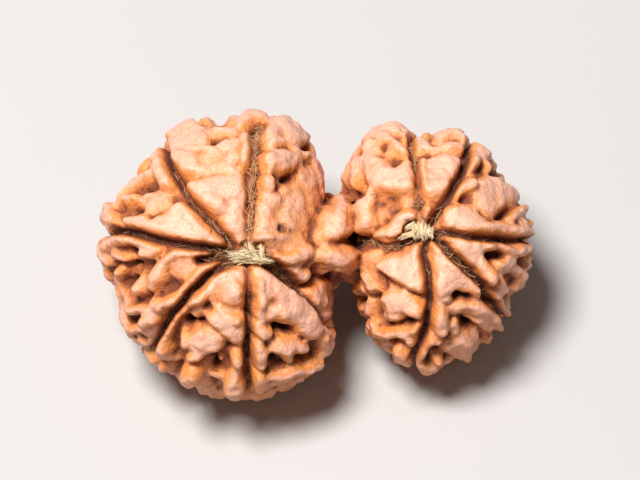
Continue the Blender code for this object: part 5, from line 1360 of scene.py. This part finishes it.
def make_cleft_fibres(name, shift, look):
    """Short curled fibres that lie along the clefts of a stone."""
    stone = STONES[name]
    rng = random.Random(stone["seed"] + FIBRE_SEED)
    paths, tones = [], []
    for half_width, bottom, path in cleft_paths(name):
        for start, end in zip(path, path[1:]):
            span = np.linalg.norm(end - start)
            tangent = (end - start) / span
            for _ in range(int(span * FIBRES_PER_MM + rng.random())):
                place = start + (end - start) * rng.random()
                normal = outline_normal(stone, place)
                side = np.cross(normal, tangent)
                turn = math.radians(rng.gauss(0, FIBRE_SPREAD_DEG))
                lean = rng.uniform(-FIBRE_LEAN, FIBRE_LEAN)
                heading = tangent * math.cos(turn) + side * math.sin(turn) + normal * lean
                curl = (side * rng.gauss(0, 1) + normal * rng.gauss(0, FIBRE_LIFT)) * FIBRE_BEND
                fill = rng.random() ** FIBRE_FILL_POWER * CLEFT_FILL
                level = bottom + FIBRE_FLOOR_MM + fill * (1 - bottom)
                aside = rng.uniform(-FIBRE_ASIDE, FIBRE_ASIDE) * half_width
                centre = place + side * aside + normal * (level - OUTLINE_LEVEL)
                reach = np.linspace(-0.5, 0.5, FIBRE_POINTS)[:, None] * rng.uniform(*FIBRE_LENGTHS_MM)
                paths.append(centre + heading * reach + curl * reach**2)
                # Each fibre's tone is partly its own, at random, and partly painted shade: darker the
                # deeper its cleft.
                tones.append(rng.random() + DEEP_CLEFT_FIBRE_SHADE * (bottom - DEEP_CLEFT_LEVEL))
    radii = [rng.uniform(*FIBRE_RADII_MM) for _ in paths]
    add_fibres("cleft_fibres_" + name, stone, paths, radii, FIBRE_SIDES, tones, shift, look)


def make_tuft(name, shift, look):
    """A stalk's fibres: each strand of the CAD node as a bundle of fine fibres."""
    stone = STONES[name]
    rng = random.Random(stone["seed"] + TUFT_SEED)
    share = np.linspace(-1, 1, TUFT_POINTS)
    paths = []
    for start, end, half_width, level in STRANDS[name]:
        radius = half_width * MM_PER_PX
        ends = [on_outline(stone, photo_to_sphere(stone, x, y)) for x, y in (start, end)]
        middle, half_length, along, across, out = strand_course(ends)
        middle = middle + out * (level - OUTLINE_LEVEL)
        length = half_length + radius
        for _ in range(TUFT_FIBRES):
            turn, spread = rng.uniform(0, 2 * math.pi), rng.uniform(*TUFT_SPREADS)
            reach = share * length * rng.uniform(*TUFT_LENGTHS)
            reach = reach + rng.uniform(-TUFT_SHIFT, TUFT_SHIFT) * length
            waist = np.sqrt(np.clip(1 - (reach / length / TUFT_END) ** 2, TUFT_THIN, 1)) * radius * spread
            bend, slant = rng.uniform(-TUFT_BEND, TUFT_BEND), rng.uniform(-TUFT_SLANT, TUFT_SLANT)
            side = waist * math.cos(turn) + (bend * share**2 + slant * share) * radius
            height = waist * math.sin(turn) * TUFT_FLATNESS
            paths.append(middle + reach[:, None] * along + side[:, None] * across + height[:, None] * out)
    radii = [rng.uniform(*TUFT_RADII_MM) for _ in paths]
    tones = [rng.random() for _ in paths]
    tuft = add_fibres("tuft_" + name, stone, paths, radii, TUFT_SIDES, tones, shift, look)
    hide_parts("stem_fibres_" + name)


def add_floor():
    bm = bmesh.new()
    bmesh.ops.create_circle(bm, cap_ends=True, segments=FLOOR_SIDES, radius=FLOOR_RADIUS)
    floor = add_object("floor", bmesh_to_mesh("floor", bm))
    floor.data.materials.append(floor_material())


def view_direction(direction):
    """A direction given along the view's axes, in the object's frame."""
    return Vector(view_to_world(np.array(direction, dtype=float))).normalized()


def aim(obj, target, direction, distance):
    """Puts an object at a distance from a target, so that it looks back at it."""
    obj.location = target + direction * distance
    obj.rotation_mode = "QUATERNION"
    obj.rotation_quaternion = direction.to_track_quat("Z", "Y")


def add_key_light(target):
    lamp = bpy.data.lights.new("key", "AREA")
    lamp.shape = "DISK"
    lamp.size = KEY_SIZE
    lamp.energy = KEY_ENERGY
    lamp.color = KEY_COLOUR
    aim(add_object("key", lamp), target, view_direction(KEY_DIRECTION), KEY_DISTANCE)


def add_camera(shift):
    """A long lens that shows the stone as the view's pixels lay it out; returns what it looks at."""
    middle = np.array((VIEW_CENTRE_PX[0], -VIEW_CENTRE_PX[1], 0)) * MM_PER_PX * METRES_PER_MM
    target = Vector(view_to_world(middle)) + shift
    distance = VIEW_DISTANCE_MM * METRES_PER_MM
    camera = bpy.data.cameras.new("camera")
    camera.sensor_width = SENSOR_MM
    camera.lens = SENSOR_MM * distance / (VIEW_WIDTH_PX * MM_PER_PX * METRES_PER_MM)
    camera.clip_start, camera.clip_end = CLIP_RANGE
    obj = add_object("camera", camera)
    aim(obj, target, view_direction((0, 0, 1)), distance)
    bpy.context.scene.camera = obj
    return target


def add_world():
    world = bpy.data.worlds.new("soft_room")
    world.use_nodes = True
    ground = world.node_tree.nodes["Background"]
    ground.inputs["Color"].default_value = (*ROOM_COLOUR, 1)
    ground.inputs["Strength"].default_value = ROOM_STRENGTH
    bpy.context.scene.world = world


stone, shift = make_stone()
paint(stone.data, shift)
stone.data.materials.clear()
stone.data.materials.append(stone_material())
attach(stone, "root")
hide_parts("twin_stone")
cleft_look = fibre_material("cleft_fibre", DARK_FIBRE_COLOUR, GOLD_FIBRE_COLOUR, PALE_FIBRE_COLOUR)
tuft_look = fibre_material("tuft_fibre", CREAM_SHADE_COLOUR, CREAM_COLOUR, CREAM_COLOUR)
for name in STRANDS:
    make_cleft_fibres(name, shift, cleft_look)
    make_tuft(name, shift, tuft_look)

add_floor()
add_world()
add_key_light(add_camera(shift))
bpy.context.scene.view_settings.view_transform = "Standard"
